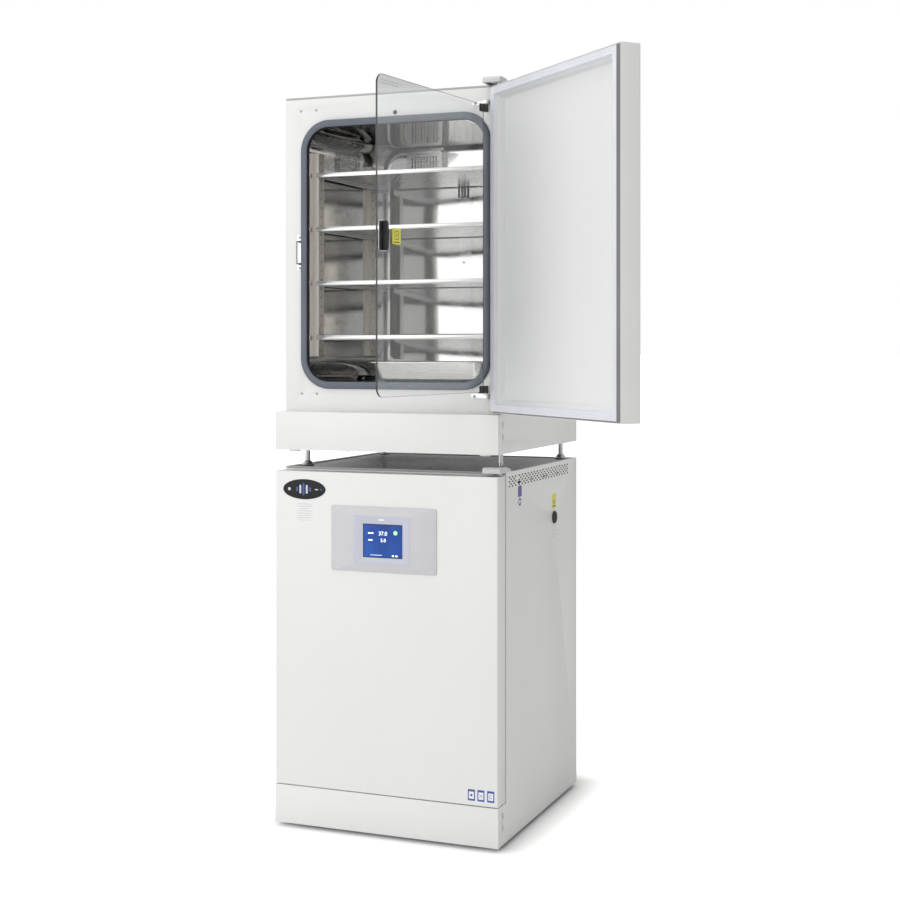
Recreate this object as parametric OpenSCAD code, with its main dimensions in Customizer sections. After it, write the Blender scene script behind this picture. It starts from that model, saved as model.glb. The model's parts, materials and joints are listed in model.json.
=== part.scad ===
// Two stacked laboratory incubators: a closed lower unit and an upper unit
// whose outer door and glass inner door stand open.
// Millimetres, +Z up, the door side towards -Y, origin on the floor midway
// between the four feet. Inside the modules, y is measured back from the
// outer face of a closed door and z up from the plinth's underside.

/* [Cabinet] */
// Width of each cabinet, side to side
unit_w = 660; // [655:1:670]
// Depth of each cabinet, from the closed door's face to the rear panel
unit_d = 696; // [690:1:730]
// Height of each cabinet, from the plinth's underside to the top rim
body_h = 985; // [985:1:990]
// Height of the plinth below the door
plinth_h = 105; // [100:1:105]
// Thickness of the painted sheet panels
sheet_t = 2; // [1.5:0.5:2]
// How far the top panel is recessed inside its rim
top_recess = 3; // [1:1:4]
// Width of the rim round the top panel
top_rim_w = 15; // [14:1:15]

/* [Levelling feet] */
// Height of the lower unit's plinth above the floor
lower_foot_h = 12; // [12:1:25]
// Height of the upper unit's plinth above the lower unit's top panel
upper_foot_h = 53; // [45:1:60]
// Distance of the feet from the centre line
foot_x = 292; // [280:1:294]
// Distance of the front feet behind the door's face
foot_front_y = 124; // [124:1:140]
// Distance of the rear feet behind the door's face
foot_rear_y = 655; // [640:1:660]
// Diameter of the upper unit's foot pads
foot_pad_d = 39; // [36:1:40]
// Diameter of the lower unit's foot pads
floor_pad_d = 44; // [40:1:48]

/* [Outer door] */
// Thickness of the outer door's shell
door_t = 54; // [50:1:54]
// Distance from the closed door's face to the face of the cabinet
face_y = 63; // [63:0.5:64]
// Gap between the plinth and the underside of the door
door_gap = 3; // [3:0.5:4]
// Gap between the top of the door and the top of the cabinet
door_top_gap = 9; // [9:0.5:10]
// Distance of the hinge axis from the centre line
door_axis_x = 320.5; // [320:0.5:321]
// Distance of the hinge axis behind the door's face
door_axis_y = 37; // [36.5:0.5:37.5]
// Angle at which the upper unit's outer door stands
door_open = 136.5; // [0:0.5:137]
// Depth of the dished panel on the inside of the door
door_dish = 20.5; // [18:0.5:20.5]

/* [Glass inner door] */
// Thickness of the glass pane
glass_t = 5; // [4:0.5:5]
// Distance of the glass hinge axis from the centre line
glass_axis_x = 279; // [278:0.5:279]
// Distance of the glass hinge axis behind the closed outer door's face
glass_axis_y = 46; // [46:0.5:46.5]
// Angle at which the upper unit's glass door stands
glass_open = 83.6; // [0:0.1:90]

/* [Chamber] */
// Clear width of the chamber
chamber_w = 527; // [520:1:527]
// Clear height of the chamber
chamber_h = 708; // [700:1:708]
// Clear depth of the chamber
chamber_d = 521; // [515:1:525]
// Offset of the chamber from the centre line, towards the hinges
chamber_x = 4; // [0:1:4]
// Height of the chamber floor above the plinth's underside
chamber_z = 189; // [189:1:192]
// Radius of the chamber's corners
chamber_r = 65; // [60:1:70]
// Width of the rubber seal round the chamber opening
seal_w = 21; // [18:1:21]

/* [Shelves] */
// Height of the top shelf above the plinth's underside
top_shelf_z = 775; // [770:1:780]
// Vertical spacing of the shelves
shelf_pitch = 152.4; // [127:25.4:152.4]
// Number of shelves in each chamber
shelf_count = 4; // [4:1:4]
// Width of a shelf
shelf_w = 488; // [480:1:488]
// Height of a shelf's front lip
shelf_lip = 12; // [8:1:14]

/* [Hidden] */
$fn = 48;

// The two units: 0 is the lower one, 1 the upper one
LOWER = 0;
UPPER = 1;
UNITS = [LOWER, UPPER];
unit_z = [lower_foot_h, lower_foot_h + body_h - top_recess + upper_foot_h];
foot_h = [lower_foot_h, upper_foot_h];
foot_stem_r = 7.5;
pad_d = [floor_pad_d, foot_pad_d];

// Cabinet
half_w = unit_w / 2;
inner_x = half_w - sheet_t;
top_t = 6;
fit = 0.3;
slot_w = 6;
slot_l = 18;
slot_y = 38;
vent_y0 = 74;
vent_y1 = 616;
vent_z0 = 941;
vent_z1 = 976;

// Outer door
door_z0 = plinth_h + door_gap;
door_z1 = body_h - door_top_gap;
door_edge_r = 5;
hinge_pin_r = 5;
running_fit = 0.05;
dish_inset = 30;
dish_y = door_t - 1 - door_dish;

// Chamber
chamber_x0 = chamber_x - chamber_w / 2;
chamber_x1 = chamber_x + chamber_w / 2;
chamber_z1 = chamber_z + chamber_h;
chamber_y0 = face_y + 7.3;
chamber_y1 = chamber_y0 + chamber_d;
liner_t = 2;
seal_y = face_y - 9;
port_y = 474;
port_z = 825.5;
port_r = 16;

// Shelves, rails and pilasters
shelf_x0 = chamber_x - 2 - shelf_w / 2;
shelf_x1 = chamber_x - 2 + shelf_w / 2;
shelf_y0 = 94;
shelf_y1 = 560;
shelf_t = 2;
pilaster_w = 14;
pilaster_l = 35;
pilaster_y = [100, 450];
pilaster_z0 = 259.1;
pilaster_z1 = 831;
hole_pitch = 25.4;

// Glass door
pane_y1 = seal_y - fit;
pane_y0 = pane_y1 - glass_t;
pane_x0 = -280;
pane_x1 = 271;
pane_z0 = 164;
pane_z1 = 930;
pane_r = 25;
glass_pin_r = 3;
bracket_h = 14;
bracket_z0 = pane_z0 - 5 - bracket_h;
top_bracket_h = 11;
top_bracket_z0 = pane_z1 + 2.5;
clamp_h = 20;
latch_x = -258;
latch_z = 547;
strike_x = -285;
strike_z = 549;

// Fan
fan_x = -120;
fan_z = 832;
wheel_r = 42;

// --- Helpers -------------------------------------------------------------

// Places a unit's parts at its height, with the feet centred on the origin
module at_unit(u) {
    translate([0, -(foot_front_y + foot_rear_y) / 2, unit_z[u]]) children();
}

// Places the same part in both units
module in_both_units() {
    for (u = UNITS) at_unit(u) children();
}

// Turns parts drawn on a closed door about that door's hinge axis
module swung(x, y, angle) {
    translate([x, y, 0]) rotate([0, 0, angle]) translate([-x, -y, 0]) children();
}

// Places a unit's outer door parts: the upper door stands open
module on_door(u) {
    at_unit(u) swung(door_axis_x, door_axis_y, u == UPPER ? door_open : 0) children();
}

// Places a unit's glass door parts: the upper one stands open
module on_glass(u) {
    at_unit(u) swung(glass_axis_x, glass_axis_y, u == UPPER ? glass_open : 0) children();
}

// A flat rectangle with rounded corners, given by its edges
module outline(x0, x1, z0, z1, r) {
    translate([x0 + r, z0]) square([x1 - x0 - 2 * r, z1 - z0]);
    translate([x0, z0 + r]) square([x1 - x0, z1 - z0 - 2 * r]);
    for (x = [x0 + r, x1 - r], z = [z0 + r, z1 - r]) translate([x, z]) circle(r);
}

// Extrudes an outline drawn in x and z from y0 back to y1
module upright(y0, y1) {
    translate([0, y1, 0]) rotate([90, 0, 0]) linear_extrude(y1 - y0) children();
}

// Extrudes an outline drawn in y and z from x0 to x1
module sideways(x0, x1) {
    translate([x0, 0, 0]) rotate([90, 0, 90]) linear_extrude(x1 - x0) children();
}

// A plain block given by its edges
module block(x0, x1, y0, y1, z0, z1) {
    translate([x0, y0, z0]) cube([x1 - x0, y1 - y0, z1 - z0]);
}

// The chamber's outline, grown outwards
module chamber_outline(grow) {
    outline(chamber_x0 - grow, chamber_x1 + grow, chamber_z - grow, chamber_z1 + grow,
            chamber_r + grow);
}

// A round bar along y
module bar_y(x, z, r, y0, y1) {
    translate([x, y1, z]) rotate([90, 0, 0]) cylinder(r = r, h = y1 - y0);
}

// A round bar along x
module bar_x(y, z, r, x0, x1) {
    translate([x0, y, z]) rotate([0, 90, 0]) cylinder(r = r, h = x1 - x0);
}

// A round bar along z
module bar_z(x, y, r, z0, z1) {
    translate([x, y, z0]) cylinder(r = r, h = z1 - z0);
}

// Places children at the four feet
module at_feet() {
    for (x = [-foot_x, foot_x], y = [foot_front_y, foot_rear_y]) translate([x, y, 0]) children();
}

// --- Cabinet ---------------------------------------------------------------

// Side panel with its forward toe beside the plinth
module side_outline() {
    toe = sheet_t;
    polygon([[toe, 0], [unit_d, 0], [unit_d, body_h], [face_y, body_h], [face_y, plinth_h],
             [toe, plinth_h]]);
}

// Upright slot in the toe of a side panel
module toe_slot(z) {
    for (e = [-1, 1]) translate([slot_y, z + e * (slot_l - slot_w) / 2]) circle(slot_w / 2);
    translate([slot_y - slot_w / 2, z - (slot_l - slot_w) / 2]) square([slot_w, slot_l - slot_w]);
}

// Both sides and the rear, folded from one sheet
module cabinet_shell() {
    color("whitesmoke") difference() {
        union() {
            for (x = [-half_w, inner_x]) sideways(x, x + sheet_t) difference() {
                side_outline();
                translate([vent_y0, vent_z0]) square([vent_y1 - vent_y0, vent_z1 - vent_z0]);
                for (z = [45, 77]) toe_slot(z);
            }
            block(-half_w, half_w, unit_d - sheet_t, unit_d, 0, body_h);
        }
        bar_x(port_y, port_z, port_r, inner_x - 1, half_w + 1);
        block(216, 264, unit_d - sheet_t - 1, unit_d + 1, 46, 74);
        for (x = [-240, -200]) bar_y(x, 860, 6.2, unit_d - sheet_t - 1, unit_d + 1);
    }
}

// Front cover of the plinth, with its top ledge and bottom lip
module plinth_cover() {
    color("whitesmoke") difference() {
        union() {
            block(-half_w, half_w, 0, sheet_t, 0, plinth_h);
            block(-inner_x, inner_x, 0, face_y, plinth_h - sheet_t, plinth_h);
            block(-inner_x, inner_x, 0, 20, 0, sheet_t);
        }
        bar_z(door_axis_x, door_axis_y, hinge_pin_r + 1, plinth_h - sheet_t - 1, plinth_h + 1);
    }
}

// Top panel, recessed inside a raised rim
module top_panel() {
    color("gainsboro") difference() {
        block(-inner_x, inner_x, face_y, unit_d - sheet_t, body_h - top_t, body_h);
        block(-inner_x + top_rim_w, inner_x - top_rim_w, face_y + top_rim_w,
              unit_d - sheet_t - top_rim_w, body_h - top_recess, body_h + 1);
    }
}

// Face panel round the chamber opening
module front_frame() {
    color("whitesmoke") difference() {
        block(-inner_x, inner_x, face_y, face_y + sheet_t, plinth_h, body_h - top_t);
        upright(face_y - 1, face_y + sheet_t + 1) chamber_outline(3);
        for (p = FACE_SCREWS) bar_y(p[0], p[1], 2.1, face_y - 1, face_y + sheet_t + 1);
    }
}

// Floor of the plinth, with a threaded boss over each foot
module base_frame() {
    color("silver") difference() {
        union() {
            block(-inner_x + 2, inner_x - 2, 6, unit_d - 6, 2.2, 5.2);
            at_feet() translate([0, 0, 2.2]) cylinder(r = 14, h = 28);
        }
        at_feet() cylinder(r = foot_stem_r + running_fit, h = 60, center = true);
    }
}

// A levelling foot: rubber base, domed pad and threaded stem
module levelling_foot(h, pad_r) {
    translate([0, 0, -h]) {
        cylinder(r = pad_r - 2, h = 3);
        translate([0, 0, 2]) cylinder(r = pad_r, h = 3.5);
        translate([0, 0, 5.5]) cylinder(r1 = pad_r, r2 = 11, h = min(9, h - 7));
        cylinder(r = foot_stem_r, h = h + 26);
    }
}

module levelling_feet() {
    color("silver") for (u = UNITS) at_unit(u) at_feet() levelling_foot(foot_h[u], pad_d[u] / 2);
}

// Small round glides under the front of the plinth
module plinth_glides() {
    color("white") in_both_units() for (x = [-284, 284]) {
        bar_z(x, 30, 16, -5, -0.2);
        bar_z(x, 30, 5, -5, 2.2);
    }
}

// Perforated vent strips, high on both sides
module vent_panels() {
    color("whitesmoke") in_both_units() for (x = [-half_w, inner_x])
        block(x, x + sheet_t, vent_y0, vent_y1, vent_z0, vent_z1);
}

// --- Chamber ---------------------------------------------------------------

// Stainless chamber liner with rounded corners and a front flange
module chamber_liner() {
    color("silver") difference() {
        union() {
            upright(chamber_y0, chamber_y1 + liner_t) chamber_outline(liner_t);
            upright(chamber_y0, chamber_y0 + liner_t) chamber_outline(22);
        }
        upright(chamber_y0 - 1, chamber_y1) chamber_outline(0);
        bar_x(port_y, port_z, port_r, chamber_x1 - 1, chamber_x1 + liner_t + 1);
        bar_y(fan_x, fan_z, 5, chamber_y1 - 1, chamber_y1 + liner_t + 1);
        bar_y(0, 544, 3, chamber_y1 - 1, chamber_y1 + liner_t + 1);
        for (x = PROBE_X) bar_y(x, PROBE_Z1, 5 + fit, chamber_y1 - 1, chamber_y1 + liner_t + 1);
    }
}

// Rubber seal round the chamber opening, with a neck through the face panel
module chamber_seal() {
    color("slategray") difference() {
        union() {
            upright(seal_y, face_y) chamber_outline(seal_w);
            upright(face_y - 1, chamber_y0) chamber_outline(2.5);
        }
        upright(seal_y - 1, chamber_y0 + 1) chamber_outline(0);
    }
}

// Foam round the liner
module insulation() {
    color("khaki") in_both_units() difference() {
        block(-inner_x + 2, inner_x - 2, chamber_y0 + liner_t + 1, 636, 112, 928);
        upright(chamber_y0, chamber_y1 + liner_t + 0.7) chamber_outline(liner_t + 0.5);
        bar_x(port_y, port_z, port_r + 1, chamber_x1, half_w);
        bar_y(fan_x, fan_z, 6, chamber_y1, 640);
        for (x = PROBE_X) bar_y(x, PROBE_Z1, 6, chamber_y1, 640);
    }
}

// Punched upright that the shelf rails hook into; the right-hand ones end below the port
module pilaster(wall_x, side, y) {
    x0 = side > 0 ? wall_x : wall_x - pilaster_w;
    face_x = side > 0 ? wall_x + pilaster_w - 1.5 : wall_x - pilaster_w;
    z1 = side > 0 ? pilaster_z1 : port_z - port_r - 4;
    difference() {
        union() {
            for (w = [y, y + pilaster_l - 1.5])
                block(x0, x0 + pilaster_w, w, w + 1.5, pilaster_z0, z1);
            block(face_x, face_x + 1.5, y, y + pilaster_l, pilaster_z0, z1);
        }
        for (z = [pilaster_z0 + hole_pitch / 2 : hole_pitch : z1 - hole_pitch / 2])
            bar_x(y + pilaster_l / 2, z, 3, face_x - 1, face_x + 3);
    }
}

module shelf_pilasters() {
    color("silver") in_both_units() for (y = pilaster_y) {
        pilaster(chamber_x0, 1, y);
        pilaster(chamber_x1, -1, y);
    }
}

// Height of a shelf's upper face, counted from the top
function shelf_z(i) = top_shelf_z - shelf_pitch * i;

// Angle rail that carries one edge of a shelf, hooked into two pilasters
module shelf_rail(side, z) {
    inner = side > 0 ? chamber_x0 + pilaster_w : chamber_x1 - pilaster_w;
    wall = side > 0 ? [inner, inner + 1.5] : [inner - 1.5, inner];
    ledge = side > 0 ? [inner, shelf_x0 + 14] : [shelf_x1 - 14, inner];
    block(wall[0], wall[1], 104, 556, z - 14, z + 3);
    block(ledge[0], ledge[1], 104, 556, z - shelf_t - fit - 1.5, z - shelf_t - fit);
}

module shelf_rails() {
    color("silver") in_both_units() for (i = [0 : shelf_count - 1], side = [-1, 1])
        shelf_rail(side, shelf_z(i));
}

// Perforated shelf with a deep front lip, wider than the shelf, and a low rear lip
module shelf(i) {
    z = shelf_z(i);
    block(shelf_x0 + 6, shelf_x1 - 6, shelf_y0, shelf_y1, z - shelf_t, z);
    block(shelf_x0 - 9, shelf_x1 + 9, shelf_y0, shelf_y0 + shelf_t, z - shelf_lip, z);
    block(shelf_x0 + 6, shelf_x1 - 6, shelf_y1 - shelf_t, shelf_y1, z - shelf_t, z + 8);
}

module upper_shelf(i) {
    color("gainsboro") at_unit(UPPER) shelf(i);
}

module lower_shelves() {
    color("gainsboro") at_unit(LOWER) for (i = [0 : shelf_count - 1]) shelf(i);
}

// Humidity pan on the chamber floor, with tapered sides and a rolled rim
PAN = [-106, 250, 105, 461];
PAN_H = 54;

// One level of the pan, set in from its rim
module pan_level(inset, z, h) {
    r = 30;
    translate([0, 0, z]) linear_extrude(h) outline(PAN[0] + inset, PAN[1] - inset,
                                                   PAN[2] + inset, PAN[3] - inset, r);
}

module water_pan(u) {
    z0 = chamber_z + fit;
    color("silver") at_unit(u) difference() {
        union() {
            hull() {
                pan_level(44, z0, 1, $fn = 32);
                pan_level(22, z0 + 8, 1, $fn = 32);
                pan_level(6, z0 + PAN_H - 2, 2, $fn = 32);
            }
            pan_level(0, z0 + PAN_H - 3, 3, $fn = 32);
        }
        hull() {
            pan_level(45.5, z0 + 1.5, 1, $fn = 32);
            pan_level(23.5, z0 + 9, 1, $fn = 32);
            pan_level(7.5, z0 + PAN_H, 1, $fn = 32);
        }
    }
}

// Two gas sample tubes on the rear wall, held by a clip
PROBE_X = [-10, 9];
PROBE_Z0 = 745;
PROBE_Z1 = 808;

module sensor_probes() {
    y = chamber_y1 - 14;
    color("dimgray") in_both_units() {
        for (x = PROBE_X) {
            bar_z(x, y, 5, PROBE_Z0, PROBE_Z1);
            translate([x, y, PROBE_Z1]) sphere(5);
            bar_y(x, PROBE_Z1, 5, y, chamber_y1 + 20);
        }
        block(PROBE_X[0] - 8, PROBE_X[1] + 8, y - 6, y + 6, PROBE_Z0 - 4, PROBE_Z0);
    }
}

// --- Circulation fan ---------------------------------------------------------

module fan_motors() {
    y0 = 640;
    color("dimgray") in_both_units() difference() {
        union() {
            bar_y(fan_x, fan_z, 32, y0, y0 + 34);
            block(fan_x - 42, fan_x + 42, y0, y0 + 3, fan_z - 12, fan_z + 12);
        }
        bar_y(fan_x, fan_z, 4 + running_fit, y0 - 1, y0 + 12);
    }
}

// Slotted stainless guard over the fan wheel
module fan_guards() {
    g = 58;
    y0 = chamber_y1 - 27;
    color("silver") in_both_units() difference() {
        upright(y0, chamber_y1) outline(fan_x - g, fan_x + g, fan_z - g + 3, fan_z + g - 3, 8);
        upright(y0 + 1.5, chamber_y1 + 1)
            outline(fan_x - g + 1.5, fan_x + g - 1.5, fan_z - g + 4.5, fan_z + g - 4.5, 6.5);
        for (i = [-4 : 4])
            block(fan_x + i * 10 - 2.5, fan_x + i * 10 + 2.5, y0 - 1, y0 + 3, fan_z - 38, fan_z + 38);
    }
}

// Radial fan wheel on its shaft
module fan_wheel(u) {
    y0 = chamber_y1 - 20;
    color("silver") at_unit(u) {
        bar_y(fan_x, fan_z, wheel_r, y0 + 13, y0 + 15);
        bar_y(fan_x, fan_z, 9, y0, y0 + 14);
        bar_y(fan_x, fan_z, 4, y0, 650);
        for (i = [0 : 9]) translate([fan_x, 0, fan_z]) rotate([0, i * 36, 0])
            block(22, wheel_r - 1, y0 + 1, y0 + 14, -1, 1);
    }
}

// --- Rear and side fittings ----------------------------------------------------

module access_port_plugs() {
    color("black") in_both_units() {
        bar_x(port_y, port_z, 19, half_w, half_w + 5);
        bar_x(port_y, port_z, port_r - 0.2, chamber_x1 + 0.5, half_w + 1);
    }
}

module gas_inlets() {
    color("gold") in_both_units() for (x = [-240, -200]) {
        bar_y(x, 860, 6, unit_d - 12, unit_d + 4);
        bar_y(x, 860, 9, unit_d, unit_d + 4);
        bar_y(x, 860, 4, unit_d, unit_d + 20);
        for (k = [9, 13, 17]) translate([x, unit_d + k, 860]) rotate([90, 0, 0])
            cylinder(r1 = 3.5, r2 = 5, h = 3);
    }
}

module power_inlets() {
    color("black") in_both_units() difference() {
        union() {
            block(216.2, 263.8, unit_d - 30, unit_d + 2, 46.2, 73.8);
            block(210, 270, unit_d, unit_d + 2, 42, 78);
        }
        block(226, 254, unit_d - 22, unit_d + 3, 50, 70);
    }
}

// --- Outer door -----------------------------------------------------------------

// Plan of the door, with rounded front edges
module door_plan() {
    r = door_edge_r;
    translate([-half_w, r]) square([unit_w, door_t - r]);
    translate([-half_w + r, 0]) square([unit_w - 2 * r, door_t]);
    for (x = [-half_w + r, half_w - r]) translate([x, r]) circle(r);
}

// Painted door skin, a tray with a hinge socket at its top and bottom corner
module door_shell() {
    block_l = 24;
    color("whitesmoke") difference() {
        union() {
            difference() {
                translate([0, 0, door_z0]) linear_extrude(door_z1 - door_z0) door_plan();
                block(-inner_x, inner_x, sheet_t, door_t + 1, door_z0 + sheet_t, door_z1 - sheet_t);
            }
            bar_z(door_axis_x, door_axis_y, 9, door_z0, door_z0 + block_l);
            bar_z(door_axis_x, door_axis_y, 9, door_z1 - block_l, door_z1);
        }
        for (z = [door_z0 - 1, door_z1 - block_l + 2])
            bar_z(door_axis_x, door_axis_y, hinge_pin_r + running_fit, z, z + block_l - 1);
    }
}

// Outline of the door, set in from its edges
module door_outline(inset, r) {
    outline(-half_w + inset, half_w - inset, door_z0 + inset, door_z1 - inset, r);
}

// Dished panel that closes the inside of the door
module door_panel() {
    color("white") difference() {
        union() {
            upright(door_t - 3, door_t - 1) door_outline(sheet_t + 0.5, 2);
            upright(dish_y - sheet_t, door_t - 1) door_outline(dish_inset - sheet_t, 10);
        }
        upright(dish_y, door_t) door_outline(dish_inset, 8);
    }
}

// Magnetic gasket round the inside of the door
module door_gasket() {
    crest_y = face_y - fit;
    color("lavender") difference() {
        union() {
            upright(door_t - 1, door_t + 3) door_outline(3, 6);
            upright(door_t - 1, crest_y) door_outline(6, 6);
        }
        upright(door_t - 2, door_t + 3) door_outline(28, 8);
        upright(door_t + 3, crest_y + 1) door_outline(26, 8);
    }
}

// Door pivots: an arm and pin above the door, a plate and pin below it
module door_hinges() {
    color("silver") in_both_units() {
        block(298, 327, 26, 82, body_h, body_h + 4);
        bar_z(door_axis_x, door_axis_y, hinge_pin_r, door_z1 - 20, body_h + 2);
        bar_z(door_axis_x, door_axis_y, 7, door_z1 + 0.5, body_h + 2);
        block(298, 327, 20, 60, plinth_h - sheet_t - 4, plinth_h - sheet_t);
        bar_z(door_axis_x, door_axis_y, hinge_pin_r, plinth_h - sheet_t - 3, door_z0 + 20);
    }
}

// Plastic cover over the top pivot, hollow below
module hinge_covers() {
    front = 15;
    back = 102;
    top = body_h + 15;
    wall = 2;
    color("gainsboro") in_both_units() difference() {
        sideways(280, half_w) polygon([[front, body_h - 1], [front, top - 5], [front + 5, top],
            [62, top], [back, body_h + 6], [back, body_h], [face_y - 1, body_h],
            [face_y - 1, body_h - 1]]);
        sideways(280 + wall, half_w - wall) polygon([[front + wall, body_h - 2],
            [front + wall, top - 6], [front + 6, top - wall], [61, top - wall],
            [back - wall - 10, body_h + 6], [back - wall - 10, body_h - 2]]);
    }
}

// --- Controls on the door -----------------------------------------------------------

BEZEL_Z = 798;
BEZEL_T = 12;

// Moulded bezel that rises from broad wings to a flat frame round the screen
module control_bezel() {
    color("gainsboro") difference() {
        hull() {
            upright(-3, 0) outline(-156, 156, BEZEL_Z - 89, BEZEL_Z + 89, 6, $fn = 32);
            upright(-BEZEL_T, 0) outline(-86, 86, BEZEL_Z - 68, BEZEL_Z + 68, 6, $fn = 32);
        }
        block(-70, 70, -BEZEL_T - 1, -2, BEZEL_Z - 54, BEZEL_Z + 54);
    }
}

module touch_screen() {
    color("royalblue") block(-69.7, 69.7, -BEZEL_T + 2, -2, BEZEL_Z - 53.7, BEZEL_Z + 53.7);
}

// Oval badge near the door's top corner
module badge() {
    color("black") translate([-239, -1.6, 927]) rotate([-90, 0, 0]) resize([134, 59, 1.6])
        cylinder(r = 65, h = 1.6, $fn = 64);
}

// --- Glass inner door ------------------------------------------------------------------

module glass_door() {
    color("lightcyan", 0.4) difference() {
        upright(pane_y0, pane_y1) outline(pane_x0, pane_x1, pane_z0, pane_z1, pane_r);
        bar_y(latch_x, latch_z, 4 + running_fit, pane_y0 - 1, pane_y1 + 1);
    }
}

// Clamp on a hinge corner of the pane, with the knuckle for the pin
module glass_clamp(z0) {
    difference() {
        union() {
            block(254, glass_axis_x, pane_y0 - 3, pane_y1 + 3, z0, z0 + clamp_h);
            bar_z(glass_axis_x, glass_axis_y, 6.5, z0, z0 + clamp_h);
        }
        block(250, pane_x1 + 0.1, pane_y0 - 0.1, pane_y1 + 0.1, pane_z0 - 0.1, pane_z1 + 0.1);
        bar_z(glass_axis_x, glass_axis_y, glass_pin_r + running_fit, z0 - 1, z0 + clamp_h + 1);
    }
}

module glass_clamps() {
    color("dimgray") {
        glass_clamp(pane_z0 - 3);
        glass_clamp(pane_z1 + 1 - clamp_h);
    }
}

module glass_hinge_pins() {
    color("silver") {
        bar_z(glass_axis_x, glass_axis_y, glass_pin_r, pane_z0 - 18, pane_z0 + 15);
        bar_z(glass_axis_x, glass_axis_y, glass_pin_r, pane_z1 - 15, pane_z1 + 13);
    }
}

// Bracket on the cabinet's face that holds one pin
module glass_hinge_bracket(z0, h) {
    difference() {
        union() {
            block(232, 286, face_y - 3, face_y, z0, z0 + h);
            block(272, 286, 39.5, face_y, z0, z0 + h);
        }
        bar_z(glass_axis_x, glass_axis_y, glass_pin_r + running_fit, z0 - 1, z0 + h + 1);
    }
}

module glass_hinge_brackets() {
    color("silver") in_both_units() {
        glass_hinge_bracket(bracket_z0, bracket_h);
        glass_hinge_bracket(top_bracket_z0, top_bracket_h);
    }
}

// Rotary latch: handle, hub, tongue and the spindle through the pane
module glass_latch() {
    handle_y = pane_y0 - 14;
    color("black") {
        upright(handle_y, handle_y + 6) outline(latch_x - 10, latch_x + 10, latch_z - 36, latch_z + 36, 9);
        bar_y(latch_x, latch_z, 16, handle_y + 5, pane_y0 - 3.1);
        bar_y(latch_x, latch_z, 4, handle_y + 5, pane_y1);
        block(latch_x - 6, latch_x + 6, pane_y0 - 3.1, pane_y0 - 0.4, latch_z - 34, latch_z);
    }
}

// Wire loop on its plate, which the latch's tongue turns behind
module latch_strikes() {
    y = 43.3;
    color("silver") in_both_units() {
        block(strike_x - 8, strike_x + 4, face_y - 2, face_y, strike_z - 50, strike_z + 50);
        bar_z(strike_x, y, 2, strike_z - 31, strike_z + 31);
        for (e = [-31, 31]) {
            bar_y(strike_x, strike_z + e, 2, y, face_y - 1);
            translate([strike_x, y, strike_z + e]) sphere(2);
        }
    }
}

// Screws in the face panel, two to each left-hand corner
FACE_SCREWS = [[-282, 947], [-234, 947], [-279, 154], [-232, 154]];

// Screws of the face panel, the latch strikes and the glass door's brackets
module face_screws() {
    color("gray") in_both_units() {
        for (p = FACE_SCREWS) {
            bar_y(p[0], p[1], 4, face_y - 0.2, face_y);
            bar_y(p[0], p[1], 2, face_y - 0.2, face_y + 6);
        }
        for (e = [-43, 43]) bar_y(strike_x, strike_z + e, 3.5, face_y - 3.5, face_y - 2);
        for (z = [bracket_z0 + bracket_h / 2, top_bracket_z0 + top_bracket_h / 2])
            bar_y(240, z, 4, face_y - 5, face_y - 3);
    }
}

// Plunger over the chamber opening that senses the glass door
module door_switches() {
    color("dimgray") in_both_units() {
        bar_y(chamber_x, 928, 4, face_y - 5, face_y);
        bar_y(chamber_x, 928, 6, face_y - 1, face_y);
    }
}

// --- Nodes --------------------------------------------------------------------------------

at_unit(LOWER) cabinet_shell();  // lower_cabinet_shell
at_unit(UPPER) cabinet_shell();  // upper_cabinet_shell
at_unit(LOWER) plinth_cover();  // lower_plinth_cover
at_unit(UPPER) plinth_cover();  // upper_plinth_cover
at_unit(LOWER) top_panel();  // lower_top_panel
at_unit(UPPER) top_panel();  // upper_top_panel
at_unit(LOWER) front_frame();  // lower_front_frame
at_unit(UPPER) front_frame();  // upper_front_frame
at_unit(LOWER) chamber_liner();  // lower_chamber_liner
at_unit(UPPER) chamber_liner();  // upper_chamber_liner
at_unit(LOWER) chamber_seal();  // lower_chamber_seal
at_unit(UPPER) chamber_seal();  // upper_chamber_seal
in_both_units() base_frame();  // base_frames
insulation();
levelling_feet();
door_hinges();
hinge_covers();
shelf_pilasters();
shelf_rails();
fan_motors();
fan_guards();
face_screws();
vent_panels();
plinth_glides();
latch_strikes();
access_port_plugs();
gas_inlets();
power_inlets();
glass_hinge_brackets();
sensor_probes();
door_switches();
on_door(LOWER) door_shell();  // lower_door_shell
on_door(LOWER) door_panel();  // lower_door_panel
on_door(LOWER) door_gasket();  // lower_door_gasket
on_door(LOWER) control_bezel();  // lower_control_bezel
on_door(LOWER) touch_screen();  // lower_touch_screen
on_door(LOWER) badge();  // lower_badge
on_door(UPPER) door_shell();  // upper_door_shell
on_door(UPPER) door_panel();  // upper_door_panel
on_door(UPPER) door_gasket();  // upper_door_gasket
on_door(UPPER) control_bezel();  // upper_control_bezel
on_door(UPPER) touch_screen();  // upper_touch_screen
on_door(UPPER) badge();  // upper_badge
on_glass(LOWER) glass_door();  // lower_glass_door
on_glass(LOWER) glass_clamps();  // lower_glass_clamps
on_glass(LOWER) glass_hinge_pins();  // lower_glass_hinge_pins
on_glass(LOWER) glass_latch();  // lower_glass_latch
on_glass(UPPER) glass_door();  // upper_glass_door
on_glass(UPPER) glass_clamps();  // upper_glass_clamps
on_glass(UPPER) glass_hinge_pins();  // upper_glass_hinge_pins
on_glass(UPPER) glass_latch();  // upper_glass_latch
fan_wheel(LOWER);  // lower_fan_wheel
fan_wheel(UPPER);  // upper_fan_wheel
water_pan(LOWER);  // lower_water_pan
water_pan(UPPER);  // upper_water_pan
lower_shelves();
upper_shelf(0);  // upper_shelf_1
upper_shelf(1);  // upper_shelf_2
upper_shelf(2);  // upper_shelf_3
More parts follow.
